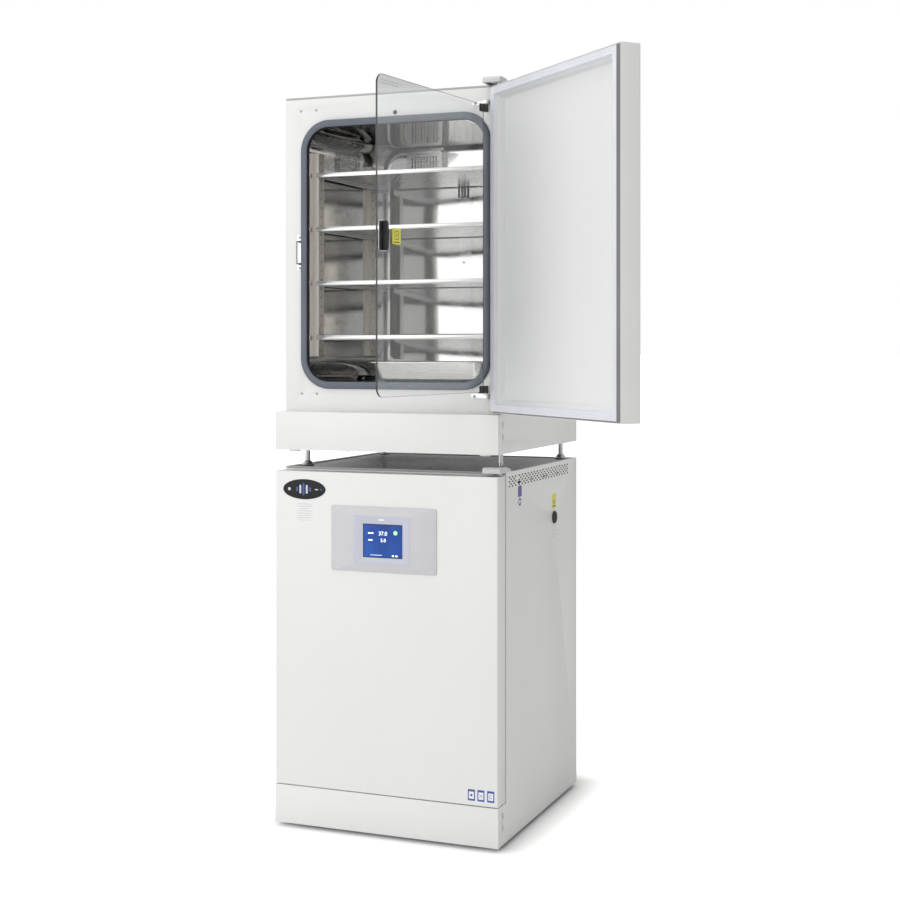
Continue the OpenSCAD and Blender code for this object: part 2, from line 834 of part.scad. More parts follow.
upper_shelf(3);  // upper_shelf_4
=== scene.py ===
import json
import math

import bmesh
import bpy
from mathutils import Matrix, Vector


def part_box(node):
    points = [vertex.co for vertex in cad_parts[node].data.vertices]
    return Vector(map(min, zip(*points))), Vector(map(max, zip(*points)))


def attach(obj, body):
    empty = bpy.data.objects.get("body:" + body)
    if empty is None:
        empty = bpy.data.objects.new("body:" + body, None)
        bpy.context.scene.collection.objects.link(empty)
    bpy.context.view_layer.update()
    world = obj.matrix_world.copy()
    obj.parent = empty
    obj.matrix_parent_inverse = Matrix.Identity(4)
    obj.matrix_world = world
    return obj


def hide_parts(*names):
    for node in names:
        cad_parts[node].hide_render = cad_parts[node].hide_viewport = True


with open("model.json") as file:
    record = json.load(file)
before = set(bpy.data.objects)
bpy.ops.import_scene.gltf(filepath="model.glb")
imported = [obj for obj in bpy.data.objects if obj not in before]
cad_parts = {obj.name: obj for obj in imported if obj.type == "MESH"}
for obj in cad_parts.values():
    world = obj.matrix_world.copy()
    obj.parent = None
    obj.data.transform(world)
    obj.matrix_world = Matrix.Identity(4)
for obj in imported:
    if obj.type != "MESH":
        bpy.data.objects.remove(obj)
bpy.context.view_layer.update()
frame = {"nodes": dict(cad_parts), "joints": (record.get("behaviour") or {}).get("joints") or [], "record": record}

NODES = frame["nodes"]
JOINTS = {j["name"]: j for j in frame["joints"]}
RATIO = frame["record"]["behaviour"]["couplings"][0]["ratio"]
UNITS = ("lower", "upper")
MM = 0.001

# ---------------------------------------------------------------- places
# Pieces are drawn in millimetres on a closed unit: x to the right, y back
# from the closed door's face, z up from the plinth's underside.


def unit_matrix(u):
    lo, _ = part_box(u + "_plinth_cover")
    return Matrix.Translation((0, lo.y, lo.z)) @ Matrix.Scale(MM, 4)


def swing(x, y, angle):
    to = Matrix.Translation((x, y, 0))
    return to @ Matrix.Rotation(math.radians(angle), 4, "Z") @ to.inverted()


UNIT = {u: unit_matrix(u) for u in UNITS}
DOOR_OPEN = {"lower": 0.0, "upper": -JOINTS["upper_door_swing"]["range_deg"][0]}


def axis_of(joint, u):
    p = UNIT[u].inverted() @ Vector(JOINTS[joint]["pos_m"])
    return p.x, p.y


DOOR = {u: UNIT[u] @ swing(*axis_of(u + "_door_swing", u), DOOR_OPEN[u]) for u in UNITS}
GLASS = {u: UNIT[u] @ swing(*axis_of(u + "_glass_follow", u), DOOR_OPEN[u] * RATIO)
         for u in UNITS}


def in_unit(u, node):
    """A CAD node's box in its unit's own millimetres."""
    lo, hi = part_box(node)
    inv = UNIT[u].inverted()
    return inv @ lo, inv @ hi


# ---------------------------------------------------------------- materials
def new_material(name):
    m = bpy.data.materials.new(name)
    m.use_nodes = True
    nt = m.node_tree
    return m, nt, nt.nodes["Principled BSDF"]


def link(nt, a, b):
    nt.links.new(a, b)


def coords(nt, scale=(1, 1, 1)):
    tc = nt.nodes.new("ShaderNodeTexCoord")
    mp = nt.nodes.new("ShaderNodeMapping")
    mp.inputs["Scale"].default_value = scale
    link(nt, tc.outputs["Object"], mp.inputs["Vector"])
    return mp.outputs["Vector"]


def noise(nt, vec, scale, detail=2.0, rough=0.5):
    n = nt.nodes.new("ShaderNodeTexNoise")
    n.inputs["Scale"].default_value = scale
    n.inputs["Detail"].default_value = detail
    n.inputs["Roughness"].default_value = rough
    link(nt, vec, n.inputs["Vector"])
    return n.outputs["Fac"]


def spread(nt, fac, low, high, a=0.3, b=0.7):
    r = nt.nodes.new("ShaderNodeMapRange")
    r.inputs["From Min"].default_value = a
    r.inputs["From Max"].default_value = b
    r.inputs["To Min"].default_value = low
    r.inputs["To Max"].default_value = high
    link(nt, fac, r.inputs["Value"])
    return r.outputs["Result"]


def blend_colours(nt, fac, c1, c2):
    r = nt.nodes.new("ShaderNodeValToRGB")
    r.color_ramp.elements[0].position = 0.3
    r.color_ramp.elements[0].color = (*c1, 1)
    r.color_ramp.elements[1].position = 0.7
    r.color_ramp.elements[1].color = (*c2, 1)
    link(nt, fac, r.inputs["Fac"])
    return r.outputs["Color"]


def add_bump(nt, bsdf, fac, distance, strength=1.0, below=None):
    b = nt.nodes.new("ShaderNodeBump")
    b.inputs["Distance"].default_value = distance
    b.inputs["Strength"].default_value = strength
    link(nt, fac, b.inputs["Height"])
    if below is not None:
        link(nt, below, b.inputs["Normal"])
    link(nt, b.outputs["Normal"], bsdf.inputs["Normal"])
    return b.outputs["Normal"]


def shade(c, k):
    return tuple(max(0.0, min(1.0, v * k)) for v in c)


def coated(name, colour, rough=(0.32, 0.44), tint=0.025, grain=520, depth=3e-5,
           smear=7, specular=0.5):
    """Paint or moulded plastic: faint mottling, uneven gloss and a fine surface grain."""
    m, nt, p = new_material(name)
    v = coords(nt)
    link(nt, blend_colours(nt, noise(nt, v, smear, 3), shade(colour, 1 - tint),
                           shade(colour, 1 + tint)), p.inputs["Base Color"])
    link(nt, spread(nt, noise(nt, v, smear * 6, 4), *rough), p.inputs["Roughness"])
    add_bump(nt, p, noise(nt, v, grain, 2), depth)
    p.inputs["Specular IOR Level"].default_value = specular
    return m


def metal(name, colour, rough=(0.16, 0.28), brush=None, wave=0.0, tint=0.05, fine=2e-6):
    """Bare metal: brushed along one axis or polished, with slow waviness in the sheet."""
    m, nt, p = new_material(name)
    v = coords(nt, brush or (1, 1, 1))
    streak = noise(nt, v, 90 if brush else 40, 4, 0.6)
    link(nt, blend_colours(nt, streak, shade(colour, 1 - tint), shade(colour, 1 + tint)),
         p.inputs["Base Color"])
    link(nt, spread(nt, streak, *rough), p.inputs["Roughness"])
    under = None
    if wave:
        under = add_bump(nt, p, noise(nt, coords(nt), 5, 1), wave)
    add_bump(nt, p, streak, fine, below=under)
    p.inputs["Metallic"].default_value = 1.0
    return m


PAINT = coated("white_powder_coat", (0.80, 0.80, 0.795), rough=(0.36, 0.41), tint=0.008,
               depth=1.6e-5, smear=3)
# Painted shade: the white cabinet tops get a grey coat that stands for the shade under the upper unit
TOP_PAINTED_SHADE = coated("top_paint_painted_shade", (0.42, 0.42, 0.415), rough=(0.26, 0.38), tint=0.04)
MOULDED = coated("white_vacuum_formed", (0.80, 0.805, 0.81), rough=(0.40, 0.43), tint=0.006,
                 grain=900, depth=3e-6, smear=2)
GREY_PLASTIC = coated("grey_moulded_plastic", (0.60, 0.60, 0.625), rough=(0.34, 0.46),
                      grain=1400, depth=2.5e-5)
LAVENDER = coated("screen_surround", (0.55, 0.57, 0.66), rough=(0.30, 0.38), grain=1600,
                  depth=1.2e-5, tint=0.015)
WHITE_PLASTIC = coated("white_nylon", (0.78, 0.77, 0.76), rough=(0.4, 0.5), grain=900)
SEAL = coated("seal_rubber", (0.115, 0.133, 0.165), rough=(0.42, 0.56), tint=0.06, grain=700,
              depth=4e-5, smear=14)
# Painted shade: a near-black copy of the seal rubber for the seal's deep inner flank
SEAL_PAINTED_SHADE = coated("seal_rubber_painted_shade", (0.022, 0.023, 0.027), rough=(0.5, 0.65), tint=0.1,
                   grain=700, depth=4e-5)
GASKET = coated("gasket_vinyl", (0.74, 0.75, 0.81), rough=(0.36, 0.5), tint=0.035, grain=800,
                depth=2e-5, smear=12)
# Painted shade: a darker copy of the gasket vinyl for its outer flank, which faces away from the light
GASKET_PAINTED_SHADE = coated("gasket_flank_painted_shade", (0.25, 0.253, 0.275), rough=(0.45, 0.6), tint=0.06,
                     grain=800, depth=2e-5)
BLACK = coated("black_plastic", (0.010, 0.010, 0.011), rough=(0.34, 0.46), tint=0.2, grain=1500,
               depth=2e-5, specular=0.25)
DARK = coated("dark_metal", (0.055, 0.055, 0.06), rough=(0.3, 0.45), tint=0.15, grain=1200)
RUBBER = coated("black_rubber", (0.02, 0.02, 0.021), rough=(0.55, 0.7), tint=0.2, grain=900,
                depth=5e-5)
MOTOR = coated("motor_paint", (0.06, 0.062, 0.066), rough=(0.4, 0.55), grain=600)
FOAM = coated("foam", (0.66, 0.60, 0.42), rough=(0.8, 0.95), tint=0.1, grain=350, depth=3e-4)
MIRROR = metal("polished_stainless", (0.60, 0.595, 0.585), rough=(0.035, 0.10), wave=2.5e-4,
               tint=0.02, fine=4e-7)
BRUSHED_X = metal("brushed_stainless_x", (0.66, 0.66, 0.655), rough=(0.2, 0.34),
                  brush=(0.04, 5, 5))
BRUSHED_Z = metal("brushed_stainless_z", (0.66, 0.64, 0.61), rough=(0.2, 0.32),
                  brush=(5, 5, 0.04))
RAIL_STEEL = metal("satin_stainless", (0.80, 0.755, 0.70), rough=(0.34, 0.46), tint=0.03,
                   brush=(2, 2, 0.1))
PAN_STEEL = metal("drawn_stainless", (0.86, 0.86, 0.85), rough=(0.24, 0.36),
                  brush=(0.1, 3, 3), wave=1.5e-4)
CHROME = metal("chrome", (0.70, 0.70, 0.71), rough=(0.06, 0.14), tint=0.02)
ZINC = metal("zinc_plate", (0.50, 0.51, 0.52), rough=(0.3, 0.5), tint=0.12)
SCREW = metal("screw_steel", (0.30, 0.30, 0.31), rough=(0.25, 0.42), tint=0.15)
BRASS = metal("brass", (0.60, 0.44, 0.18), rough=(0.2, 0.35), tint=0.08)
YELLOW = coated("yellow_label", (0.72, 0.66, 0.06), rough=(0.3, 0.4), grain=1500, depth=6e-6)
VIOLET = coated("violet_label", (0.06, 0.05, 0.26), rough=(0.3, 0.4), grain=1500, depth=6e-6)
BLUE = coated("blue_print", (0.05, 0.10, 0.36), rough=(0.35, 0.45), grain=1500, depth=6e-6)
PALE = coated("pale_print", (0.86, 0.87, 0.89), rough=(0.35, 0.45), grain=1500, depth=6e-6)
FAINT = coated("faint_print", (0.62, 0.62, 0.67), rough=(0.35, 0.45), grain=1500, depth=6e-6)
INK = coated("dark_print", (0.10, 0.09, 0.05), rough=(0.35, 0.45), grain=1500, depth=6e-6)
LACQUER = coated("badge_lacquer", (0.008, 0.008, 0.010), rough=(0.30, 0.38), tint=0.2,
                 grain=900, depth=4e-6, specular=0.3)


def display_material():
    """A lit panel in a slightly uneven blue."""
    m, nt, p = new_material("lit_display")
    v = coords(nt)
    glow = blend_colours(nt, noise(nt, v, 11, 2), (0.004, 0.040, 0.24), (0.012, 0.088, 0.37))
    link(nt, glow, p.inputs["Base Color"])
    link(nt, glow, p.inputs["Emission Color"])
    p.inputs["Emission Strength"].default_value = 0.28
    link(nt, spread(nt, noise(nt, v, 60, 3), 0.10, 0.17), p.inputs["Roughness"])
    add_bump(nt, p, noise(nt, v, 1800, 1), 3e-6)
    return m


def lit_material(name, colour, strength):
    m, nt, p = new_material(name)
    v = coords(nt)
    link(nt, blend_colours(nt, noise(nt, v, 300, 1), shade(colour, 0.94), colour),
         p.inputs["Base Color"])
    p.inputs["Emission Color"].default_value = (*colour, 1)
    p.inputs["Emission Strength"].default_value = strength
    p.inputs["Roughness"].default_value = 0.25
    return m


def glass_material():
    m, nt, p = new_material("clear_glass")
    v = coords(nt)
    link(nt, blend_colours(nt, noise(nt, v, 3, 2), (0.955, 0.975, 0.97), (0.97, 0.985, 0.98)),
         p.inputs["Base Color"])
    link(nt, spread(nt, noise(nt, v, 9, 3), 0.0, 0.012), p.inputs["Roughness"])
    add_bump(nt, p, noise(nt, v, 2.5, 1), 2e-5)
    p.inputs["Transmission Weight"].default_value = 1.0
    p.inputs["IOR"].default_value = 1.5
    return m


DISPLAY = display_material()
LIT_WHITE = lit_material("lit_white", (0.9, 0.95, 1.0), 0.9)
LIT_GREEN = lit_material("lit_green", (0.35, 0.75, 0.35), 0.5)
GLASS_CLEAR = glass_material()
# Painted shade: the pane's edges are opaque near-black to stand for the dark line seen along the glass
GLASS_EDGE_PAINTED_SHADE = coated("glass_edge_painted_shade", (0.03, 0.036, 0.037), rough=(0.2, 0.35), tint=0.15,
                    grain=900, depth=2e-5)


# ---------------------------------------------------------------- mesh helpers
def finish_mesh(bm, name, matrix, mats, sharp=32):
    bmesh.ops.recalc_face_normals(bm, faces=bm.faces)
    limit = math.radians(sharp)
    for f in bm.faces:
        f.smooth = True
    for e in bm.edges:
        if len(e.link_faces) == 2 and e.calc_face_angle(0) > limit:
            e.smooth = False
    bmesh.ops.transform(bm, matrix=matrix, verts=bm.verts)
    me = bpy.data.meshes.new(name)
    bm.to_mesh(me)
    bm.free()
    o = bpy.data.objects.new(name, me)
    bpy.context.scene.collection.objects.link(o)
    for m in mats if isinstance(mats, (list, tuple)) else [mats]:
        me.materials.append(m)
    return o


def add_piece(bm, name, matrix, mats, body, nodes=(), sharp=32):
    o = finish_mesh(bm, name, matrix, mats, sharp)
    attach(o, body)
    if nodes:
        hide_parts(*nodes)
    return o


def ring_rect(x0, x1, z0, z1, r, y, n=10):
    """Points of a rounded rectangle at depth y, always in the same order."""
    r = max(min(r, (x1 - x0) / 2 - 0.01, (z1 - z0) / 2 - 0.01), 0.01)
    pts = []
    for cx, cz, a0 in ((x1 - r, z1 - r, 0), (x0 + r, z1 - r, 90), (x0 + r, z0 + r, 180),
                       (x1 - r, z0 + r, 270)):
        for i in range(n + 1):
            a = math.radians(a0 + 90 * i / n)
            pts.append(Vector((cx + r * math.cos(a), y, cz + r * math.sin(a))))
    return pts


def ring_flat(x0, x1, y0, y1, r, z, n=10):
    """The same rounded rectangle lying level at height z."""
    return [Vector((p.x, p.z, z)) for p in ring_rect(x0, x1, y0, y1, r, 0, n)]


def ring_ellipse(cx, cz, a, b, y, n=48):
    return [Vector((cx + a * math.cos(2 * math.pi * i / n), y,
                    cz + b * math.sin(2 * math.pi * i / n))) for i in range(n)]


def loft(bm, rings, caps=True, closed=False, mat=0):
    """Skins rings of equal length, and returns the faces made between each pair."""
    vs = [[bm.verts.new(p) for p in ring] for ring in rings]
    made = []
    pairs = list(zip(vs, vs[1:])) + ([(vs[-1], vs[0])] if closed else [])
    for a, b in pairs:
        row = []
        for i in range(len(a)):
            j = (i + 1) % len(a)
            row.append(bm.faces.new((a[i], a[j], b[j], b[i])))
        made.append(row)
    if caps and not closed:
        made.append([bm.faces.new(vs[0]), bm.faces.new(list(reversed(vs[-1])))])
    for row in made:
        for f in row:
            f.material_index = mat
    return made


def box(bm, x0, x1, y0, y1, z0, z1, r=0.0, mat=0):
    """A block whose edges are rounded by r."""
    if r <= 0:
        return loft(bm, [ring_rect(x0, x1, z0, z1, 0.01, y, 1) for y in (y0, y1)], mat=mat)
    steps = ((0.7, 0), (0.2, 0.35), (0, 1))
    levels = [(r * k, y0 + r * d) for k, d in steps]
    levels += [(r * k, y1 - r * d) for k, d in reversed(steps)]
    rings = [ring_rect(x0 + c, x1 - c, z0 + c, z1 - c, r, y, 3) for c, y in levels]
    return loft(bm, rings, mat=mat)


def disc(r, h):
    """The profile of a flat disc."""
    return [(0, 0), (r, 0), (r, h), (0, h)]


def in_metres(profile):
    return [(r * MM, t * MM) for r, t in profile]


def lathe(bm, origin, axis, profile, n=32, mat=0):
    """Turns (radius, distance along the axis) pairs about an axis through origin."""
    axis = Vector(axis).normalized()
    side = axis.orthogonal().normalized()
    other = axis.cross(side)
    rings = []
    for r, t in profile:
        r = max(r, 0.001)
        rings.append([Vector(origin) + axis * t + (side * math.cos(a) + other * math.sin(a)) * r
                      for a in (2 * math.pi * i / n for i in range(n))])
    return loft(bm, rings, mat=mat)


def tube(bm, path, r, n=12, mat=0):
    """A round wire along a path of points."""
    path = [Vector(p) for p in path]
    rings = []
    side = None
    for i, p in enumerate(path):
        d = (path[min(i + 1, len(path) - 1)] - path[max(i - 1, 0)]).normalized()
        side = d.orthogonal() if side is None else side - d * side.dot(d)
        side = side.normalized()
        other = d.cross(side)
        rings.append([p + (side * math.cos(a) + other * math.sin(a)) * r
                      for a in (2 * math.pi * k / n for k in range(n))])
    return loft(bm, rings, mat=mat)


def bent(points, r, n=6):
    """A path whose corners are rounded with radius r."""
    points = [Vector(p) for p in points]
    out = [points[0]]
    for a, b, c in zip(points, points[1:], points[2:]):
        u, v = (a - b).normalized(), (c - b).normalized()
        p, q = b + u * r, b + v * r
        for i in range(n + 1):
            t = i / n
            out.append(p.lerp(b, t).lerp(b.lerp(q, t), t))
    out.append(points[-1])
    return out


def bevelled(node, mat, width, body, segments=2, angle=35):
    """A CAD node with its sharp edges softened."""
    bm = bmesh.new()
    bm.from_mesh(NODES[node].data)
    bmesh.ops.remove_doubles(bm, verts=bm.verts, dist=1e-6)
    bmesh.ops.dissolve_limit(bm, angle_limit=math.radians(1), verts=bm.verts, edges=bm.edges)
    sharp = [e for e in bm.edges
             if len(e.link_faces) == 2 and e.calc_face_angle(0) > math.radians(angle)]
    bmesh.ops.bevel(bm, geom=sharp, offset=width * MM, offset_type="OFFSET", segments=segments,
                    profile=0.5, affect="EDGES", clamp_overlap=True)
    return add_piece(bm, node + "_form", Matrix.Identity(4), mat, body, [node])


def paint_node(node, mat):
    """Gives a CAD node that is shown as it is its material."""
    me = NODES[node].data
    me.materials.clear()
    me.materials.append(mat)


def as_drawn(x, y, z):
    return x, y, z


def perforated(bm, x0, x1, y0, y1, z0, z1, holes, place=as_drawn, n=12, stretch=1.0):
    """A flat plate with round holes, or slots where they are stretched along x.
    holes is a list of rows (y centre, half height, [(x centre, half width, radius)...]);
    the rest of each row is filled plain."""
    cache = {}

    def vert(x, y, z):
        key = (round(x, 4), round(y, 4), round(z, 4))
        if key not in cache:
            cache[key] = bm.verts.new(place(x, y, z))
        return cache[key]

    def quad(xa, xb, ya, yb):
        if xb - xa < 1e-6 or yb - ya < 1e-6:
            return
        for z, flip in ((z1, False), (z0, True)):
            f = [vert(xa, ya, z), vert(xb, ya, z), vert(xb, yb, z), vert(xa, yb, z)]
            bm.faces.new(reversed(f) if flip else f)

    def hole(cx, cy, hw, hh, r):
        circle = [(cx + r * stretch * math.cos(2 * math.pi * i / n),
                   cy + r * math.sin(2 * math.pi * i / n))
                  for i in range(n + 1)]
        mids = [(cx + hw, cy), (cx, cy + hh), (cx - hw, cy), (cx, cy - hh), (cx + hw, cy)]
        corners = [(cx + hw, cy + hh), (cx - hw, cy + hh), (cx - hw, cy - hh), (cx + hw, cy - hh)]
        for q in range(4):
            arc = circle[q * n // 4:(q + 1) * n // 4 + 1]
            poly = [mids[q], corners[q], mids[q + 1]] + list(reversed(arc))
            bm.faces.new([vert(x, y, z1) for x, y in poly])
            bm.faces.new([vert(x, y, z0) for x, y in reversed(poly)])
        for (xa, ya), (xb, yb) in zip(circle, circle[1:]):
            bm.faces.new((vert(xa, ya, z0), vert(xb, yb, z0), vert(xb, yb, z1), vert(xa, ya, z1)))

    y = y0
    for cy, hh, row in holes:
        quad(x0, x1, y, cy - hh)
        x = x0
        for cx, hw, r in row:
            quad(x, cx - hw, cy - hh, cy + hh)
            hole(cx, cy, hw, hh, r)
            x = cx + hw
        quad(x, x1, cy - hh, cy + hh)
        y = cy + hh
    quad(x0, x1, y, y1)


def close_rim(bm, x0, x1, y0, y1, z0, z1, place=as_drawn):
    """The narrow faces round a plate's outside."""
    ring = [(x0, y0), (x1, y0), (x1, y1), (x0, y1)]
    for (xa, ya), (xb, yb) in zip(ring, ring[1:] + ring[:1]):
        bm.faces.new([bm.verts.new(place(*p)) for p in
                      ((xa, ya, z0), (xb, yb, z0), (xb, yb, z1), (xa, ya, z1))])


def lettering(text, height, name):
    """Plain figures as a flat mesh in the xz plane, centred on the origin."""
    curve = bpy.data.curves.new(name, "FONT")
    curve.body = text
    curve.size = height
    curve.extrude = 0.02 * height
    curve.align_x = "CENTER"
    curve.align_y = "CENTER"
    o = bpy.data.objects.new(name, curve)
    bpy.context.scene.collection.objects.link(o)
    dg = bpy.context.evaluated_depsgraph_get()
    me = bpy.data.meshes.new_from_object(o.evaluated_get(dg))
    bpy.data.objects.remove(o)
    bm = bmesh.new()
    bm.from_mesh(me)
    bpy.data.meshes.remove(me)
    bmesh.ops.rotate(bm, cent=(0, 0, 0), matrix=Matrix.Rotation(math.radians(90), 3, "X"),
                     verts=bm.verts)
    bmesh.ops.remove_doubles(bm, verts=bm.verts, dist=height * 1e-4)
    return bm


# ---------------------------------------------------------------- painted cabinet
for u in UNITS:
    bevelled(u + "_cabinet_shell", PAINT, 0.7, "cabinet")
    bevelled(u + "_plinth_cover", PAINT, 0.7, "cabinet")
    # The top panels take the grey coat, a painted shade for the gap under the upper unit
    bevelled(u + "_top_panel", TOP_PAINTED_SHADE, 0.6, "cabinet")
    bevelled(u + "_front_frame", PAINT, 0.5, "cabinet")
    bevelled(u + "_door_shell", PAINT, 0.8, u + "_door", segments=3)
bevelled("hinge_covers", GREY_PLASTIC, 1.2, "cabinet", segments=3)
bevelled("door_hinges", ZINC, 0.4, "cabinet")
paint_node("base_frames", ZINC)
paint_node("insulation", FOAM)

# Perforated vent strips: five staggered rows of short slots in two groups
VENT_ROWS = 5
VENT_PITCH_Z = 6.2
VENT_PITCH_Y = 25.6
SLOT_STRETCH = 2.5


def on_side(y, z, x):
    return x, y, z


for u in UNITS:
    bm = bmesh.new()
    x_out, sheet = in_unit(u, u + "_cabinet_shell")[1].x, 0.9
    y0, y1, z0, z1 = 74.0, 616.0, 941.0, 976.0
    mid_z = (z0 + z1) / 2 - 0.8
    rows = []
    for k in range(VENT_ROWS):
        stagger = VENT_PITCH_Y / 2 if k % 2 else 0
        xs = [89.6 + stagger + VENT_PITCH_Y * i for i in range(2 if k % 2 else 3)]
        xs += [168.9 + stagger + VENT_PITCH_Y * i for i in range(17 if k % 2 else 18)]
        zc = mid_z + (k - (VENT_ROWS - 1) / 2) * VENT_PITCH_Z
        rows.append((zc, VENT_PITCH_Z / 2, [(x, 7.2, 2.6) for x in xs]))
    for xa in (x_out - sheet, -x_out):
        perforated(bm, y0, y1, z0, z1, xa, xa + sheet, rows, on_side, 16, SLOT_STRETCH)
        close_rim(bm, y0, y1, z0, z1, xa, xa + sheet, on_side)
    add_piece(bm, u + "_vent_strips", UNIT[u], PAINT, "cabinet",
              ["vent_panels"] if u == "upper" else ())
    # Near-black sheets just inside each vent strip: painted shade seen through the slots
    bm = bmesh.new()
    for xa in (x_out - 1.9, -x_out + 1.0):
        box(bm, xa, xa + 0.9, y0 + 0.5, y1 - 0.5, z0 + 0.5, z1 - 0.5)
    add_piece(bm, u + "_vent_shade_sheets", UNIT[u], BLACK, "cabinet")

# ---------------------------------------------------------------- chamber
CH = dict(x0=-259.5, x1=267.5, z0=189.0, z1=897.0, y0=70.3, y1=591.3, r=65.0)


def chamber_ring(grow, y, n=12):
    return ring_rect(CH["x0"] - grow, CH["x1"] + grow, CH["z0"] - grow, CH["z1"] + grow,
                     CH["r"] + grow, y, n)


COVE = 16.0
for u in UNITS:
    bm = bmesh.new()
    inner = [chamber_ring(0, CH["y0"]), chamber_ring(0, CH["y1"] - COVE)]
    outer = [chamber_ring(2, CH["y0"] + 2), chamber_ring(2, CH["y1"] - COVE)]
    for i in range(1, 7):
        a = math.radians(15 * i)
        inner.append(chamber_ring(-COVE * (1 - math.cos(a)), CH["y1"] - COVE * (1 - math.sin(a))))
        outer.append(chamber_ring(2 - (COVE + 2) * (1 - math.cos(a)),
                                  CH["y1"] + 2 - (COVE + 2) * (1 - math.sin(a))))
    rings = list(reversed(inner)) + [chamber_ring(22, CH["y0"]), chamber_ring(22, CH["y0"] + 2)]
    loft(bm, rings + outer)
    add_piece(bm, u + "_liner_form", UNIT[u], MIRROR, "cabinet",
              [u + "_chamber_liner"], sharp=40)

    bm = bmesh.new()
    lathe(bm, (0, CH["y1"] + 0.1, 544), (0, -1, 0), disc(3, 0.4), 20)
    add_piece(bm, u + "_rear_port", UNIT[u], DARK, "cabinet")

    # Seal: a rounded outer flange and a deep inner flank
    bm = bmesh.new()
    profile = [(0, 70.3), (0, 58), (0.8, 56), (2.6, 54.7), (5, 54.1), (9, 54.0), (14, 54.0),
               (17.2, 54.5), (19.4, 56), (20.6, 58.4), (21, 61), (21, 63), (2.5, 63),
               (2.5, 70.3)]
    made = loft(bm, [chamber_ring(d, y, 14) for d, y in profile], caps=False, closed=True)
    # The inner flank rows take the near-black painted-shade copy of the seal rubber
    for row in made[:2] + made[-2:]:
        for f in row:
            f.material_index = 1
    add_piece(bm, u + "_seal_form", UNIT[u], [SEAL, SEAL_PAINTED_SHADE], "cabinet",
              [u + "_chamber_seal"], sharp=50)

# Shelves: perforated plate with a hemmed front lip and a rear lip
SHELF = dict(x0=-242.0, x1=246.0, y0=94.0, y1=560.0)
HOLE_PITCH = 19.05
REAR_LIP = 8


def shelf_mesh(z):
    bm = bmesh.new()
    x0, x1, y0, y1 = SHELF["x0"] + 6, SHELF["x1"] - 6, SHELF["y0"] + 2, SHELF["y1"] - 2
    rows, k, y = [], 0, y0 + 20
    while y < y1 - 14:
        first = x0 + 18 + (HOLE_PITCH / 2 if k % 2 else 0)
        count = int((x1 - 14 - first) // HOLE_PITCH) + 1
        rows.append((y, HOLE_PITCH * 0.433, [(first + HOLE_PITCH * i, HOLE_PITCH / 2, 4.0)
                                             for i in range(count)]))
        y += HOLE_PITCH * 0.866
        k += 1
    perforated(bm, x0, x1, y0, y1, z - 2, z, rows)
    close_rim(bm, x0, x1, y0, y1, z - 2, z)
    box(bm, SHELF["x0"] - 9, SHELF["x1"] + 9, SHELF["y0"], SHELF["y0"] + 2, z - 12, z, 0.9)
    box(bm, SHELF["x0"] - 8, SHELF["x1"] + 8, SHELF["y0"] + 2, SHELF["y0"] + 5, z - 12, z - 10.4,
        0.7)
    box(bm, x0, x1, SHELF["y1"] - 2, SHELF["y1"], z - 2, z + REAR_LIP, 0.9)
    return bm


for i in range(4):
    node = f"upper_shelf_{i + 1}"
    plate_z = in_unit("upper", node)[1].z - REAR_LIP
    add_piece(shelf_mesh(plate_z), node + "_form", UNIT["upper"], BRUSHED_X, f"shelf_{i + 1}",
              [node])
    add_piece(shelf_mesh(plate_z), f"lower_shelf_{i + 1}_form", UNIT["lower"], BRUSHED_X,
              "cabinet", ["lower_shelves"] if i == 0 else ())

bevelled("shelf_pilasters", RAIL_STEEL, 0.25, "cabinet", segments=1)
for u in UNITS:
    bm = bmesh.new()
    for y in (100, 450):
        box(bm, CH["x0"] + 11.2, CH["x0"] + 12.2, y + 4, y + 31, 262, 829)
        box(bm, CH["x1"] - 12.2, CH["x1"] - 11.2, y + 4, y + 31, 262, 803)
    add_piece(bm, u + "_pilaster_backs", UNIT[u], BLACK, "cabinet")
bevelled("shelf_rails", BRUSHED_X, 0.3, "cabinet", segments=1)

# Humidity pan: drawn with soft corners and a rolled rim
for u in UNITS:
    bm = bmesh.new()
    lo, hi = in_unit(u, u + "_water_pan")
    X0, X1, Y0, Y1, Z0, Z1 = lo.x, hi.x, lo.y, hi.y, lo.z, hi.z

    def level(inset, z, r):
        return ring_flat(X0 + inset, X1 - inset, Y0 + inset, Y1 - inset, r, z, 8)

    prof = [(50, Z0 + 1.6, 16), (45.6, Z0 + 2.0, 18), (24.4, Z0 + 8.8, 26), (22.8, Z0 + 10.6, 27),
            (7.6, Z1 - 3.2, 29), (6.8, Z1 - 0.8, 30), (4.5, Z1, 30), (1.6, Z1 - 0.2, 31),
            (0.2, Z1 - 0.9, 31), (0.2, Z1 - 2.2, 31), (1.6, Z1 - 2.9, 31), (5.4, Z1 - 3.0, 30),
            (6.4, Z1 - 4.0, 30), (21.6, Z0 + 9.6, 27), (23.2, Z0 + 7.2, 26), (44.6, Z0 + 0.3, 18),
            (50, Z0, 16)]
    loft(bm, [level(*p) for p in prof])
    add_piece(bm, u + "_pan_form", UNIT[u], PAN_STEEL, "upper_pan" if u == "upper" else "cabinet",
              [u + "_water_pan"], sharp=45)

bevelled("fan_guards", BRUSHED_X, 0.4, "cabinet", segments=1)
for u in UNITS:
    bevelled(u + "_fan_wheel", BRUSHED_Z, 0.2, u + "_fan", segments=1)
paint_node("fan_motors", MOTOR)

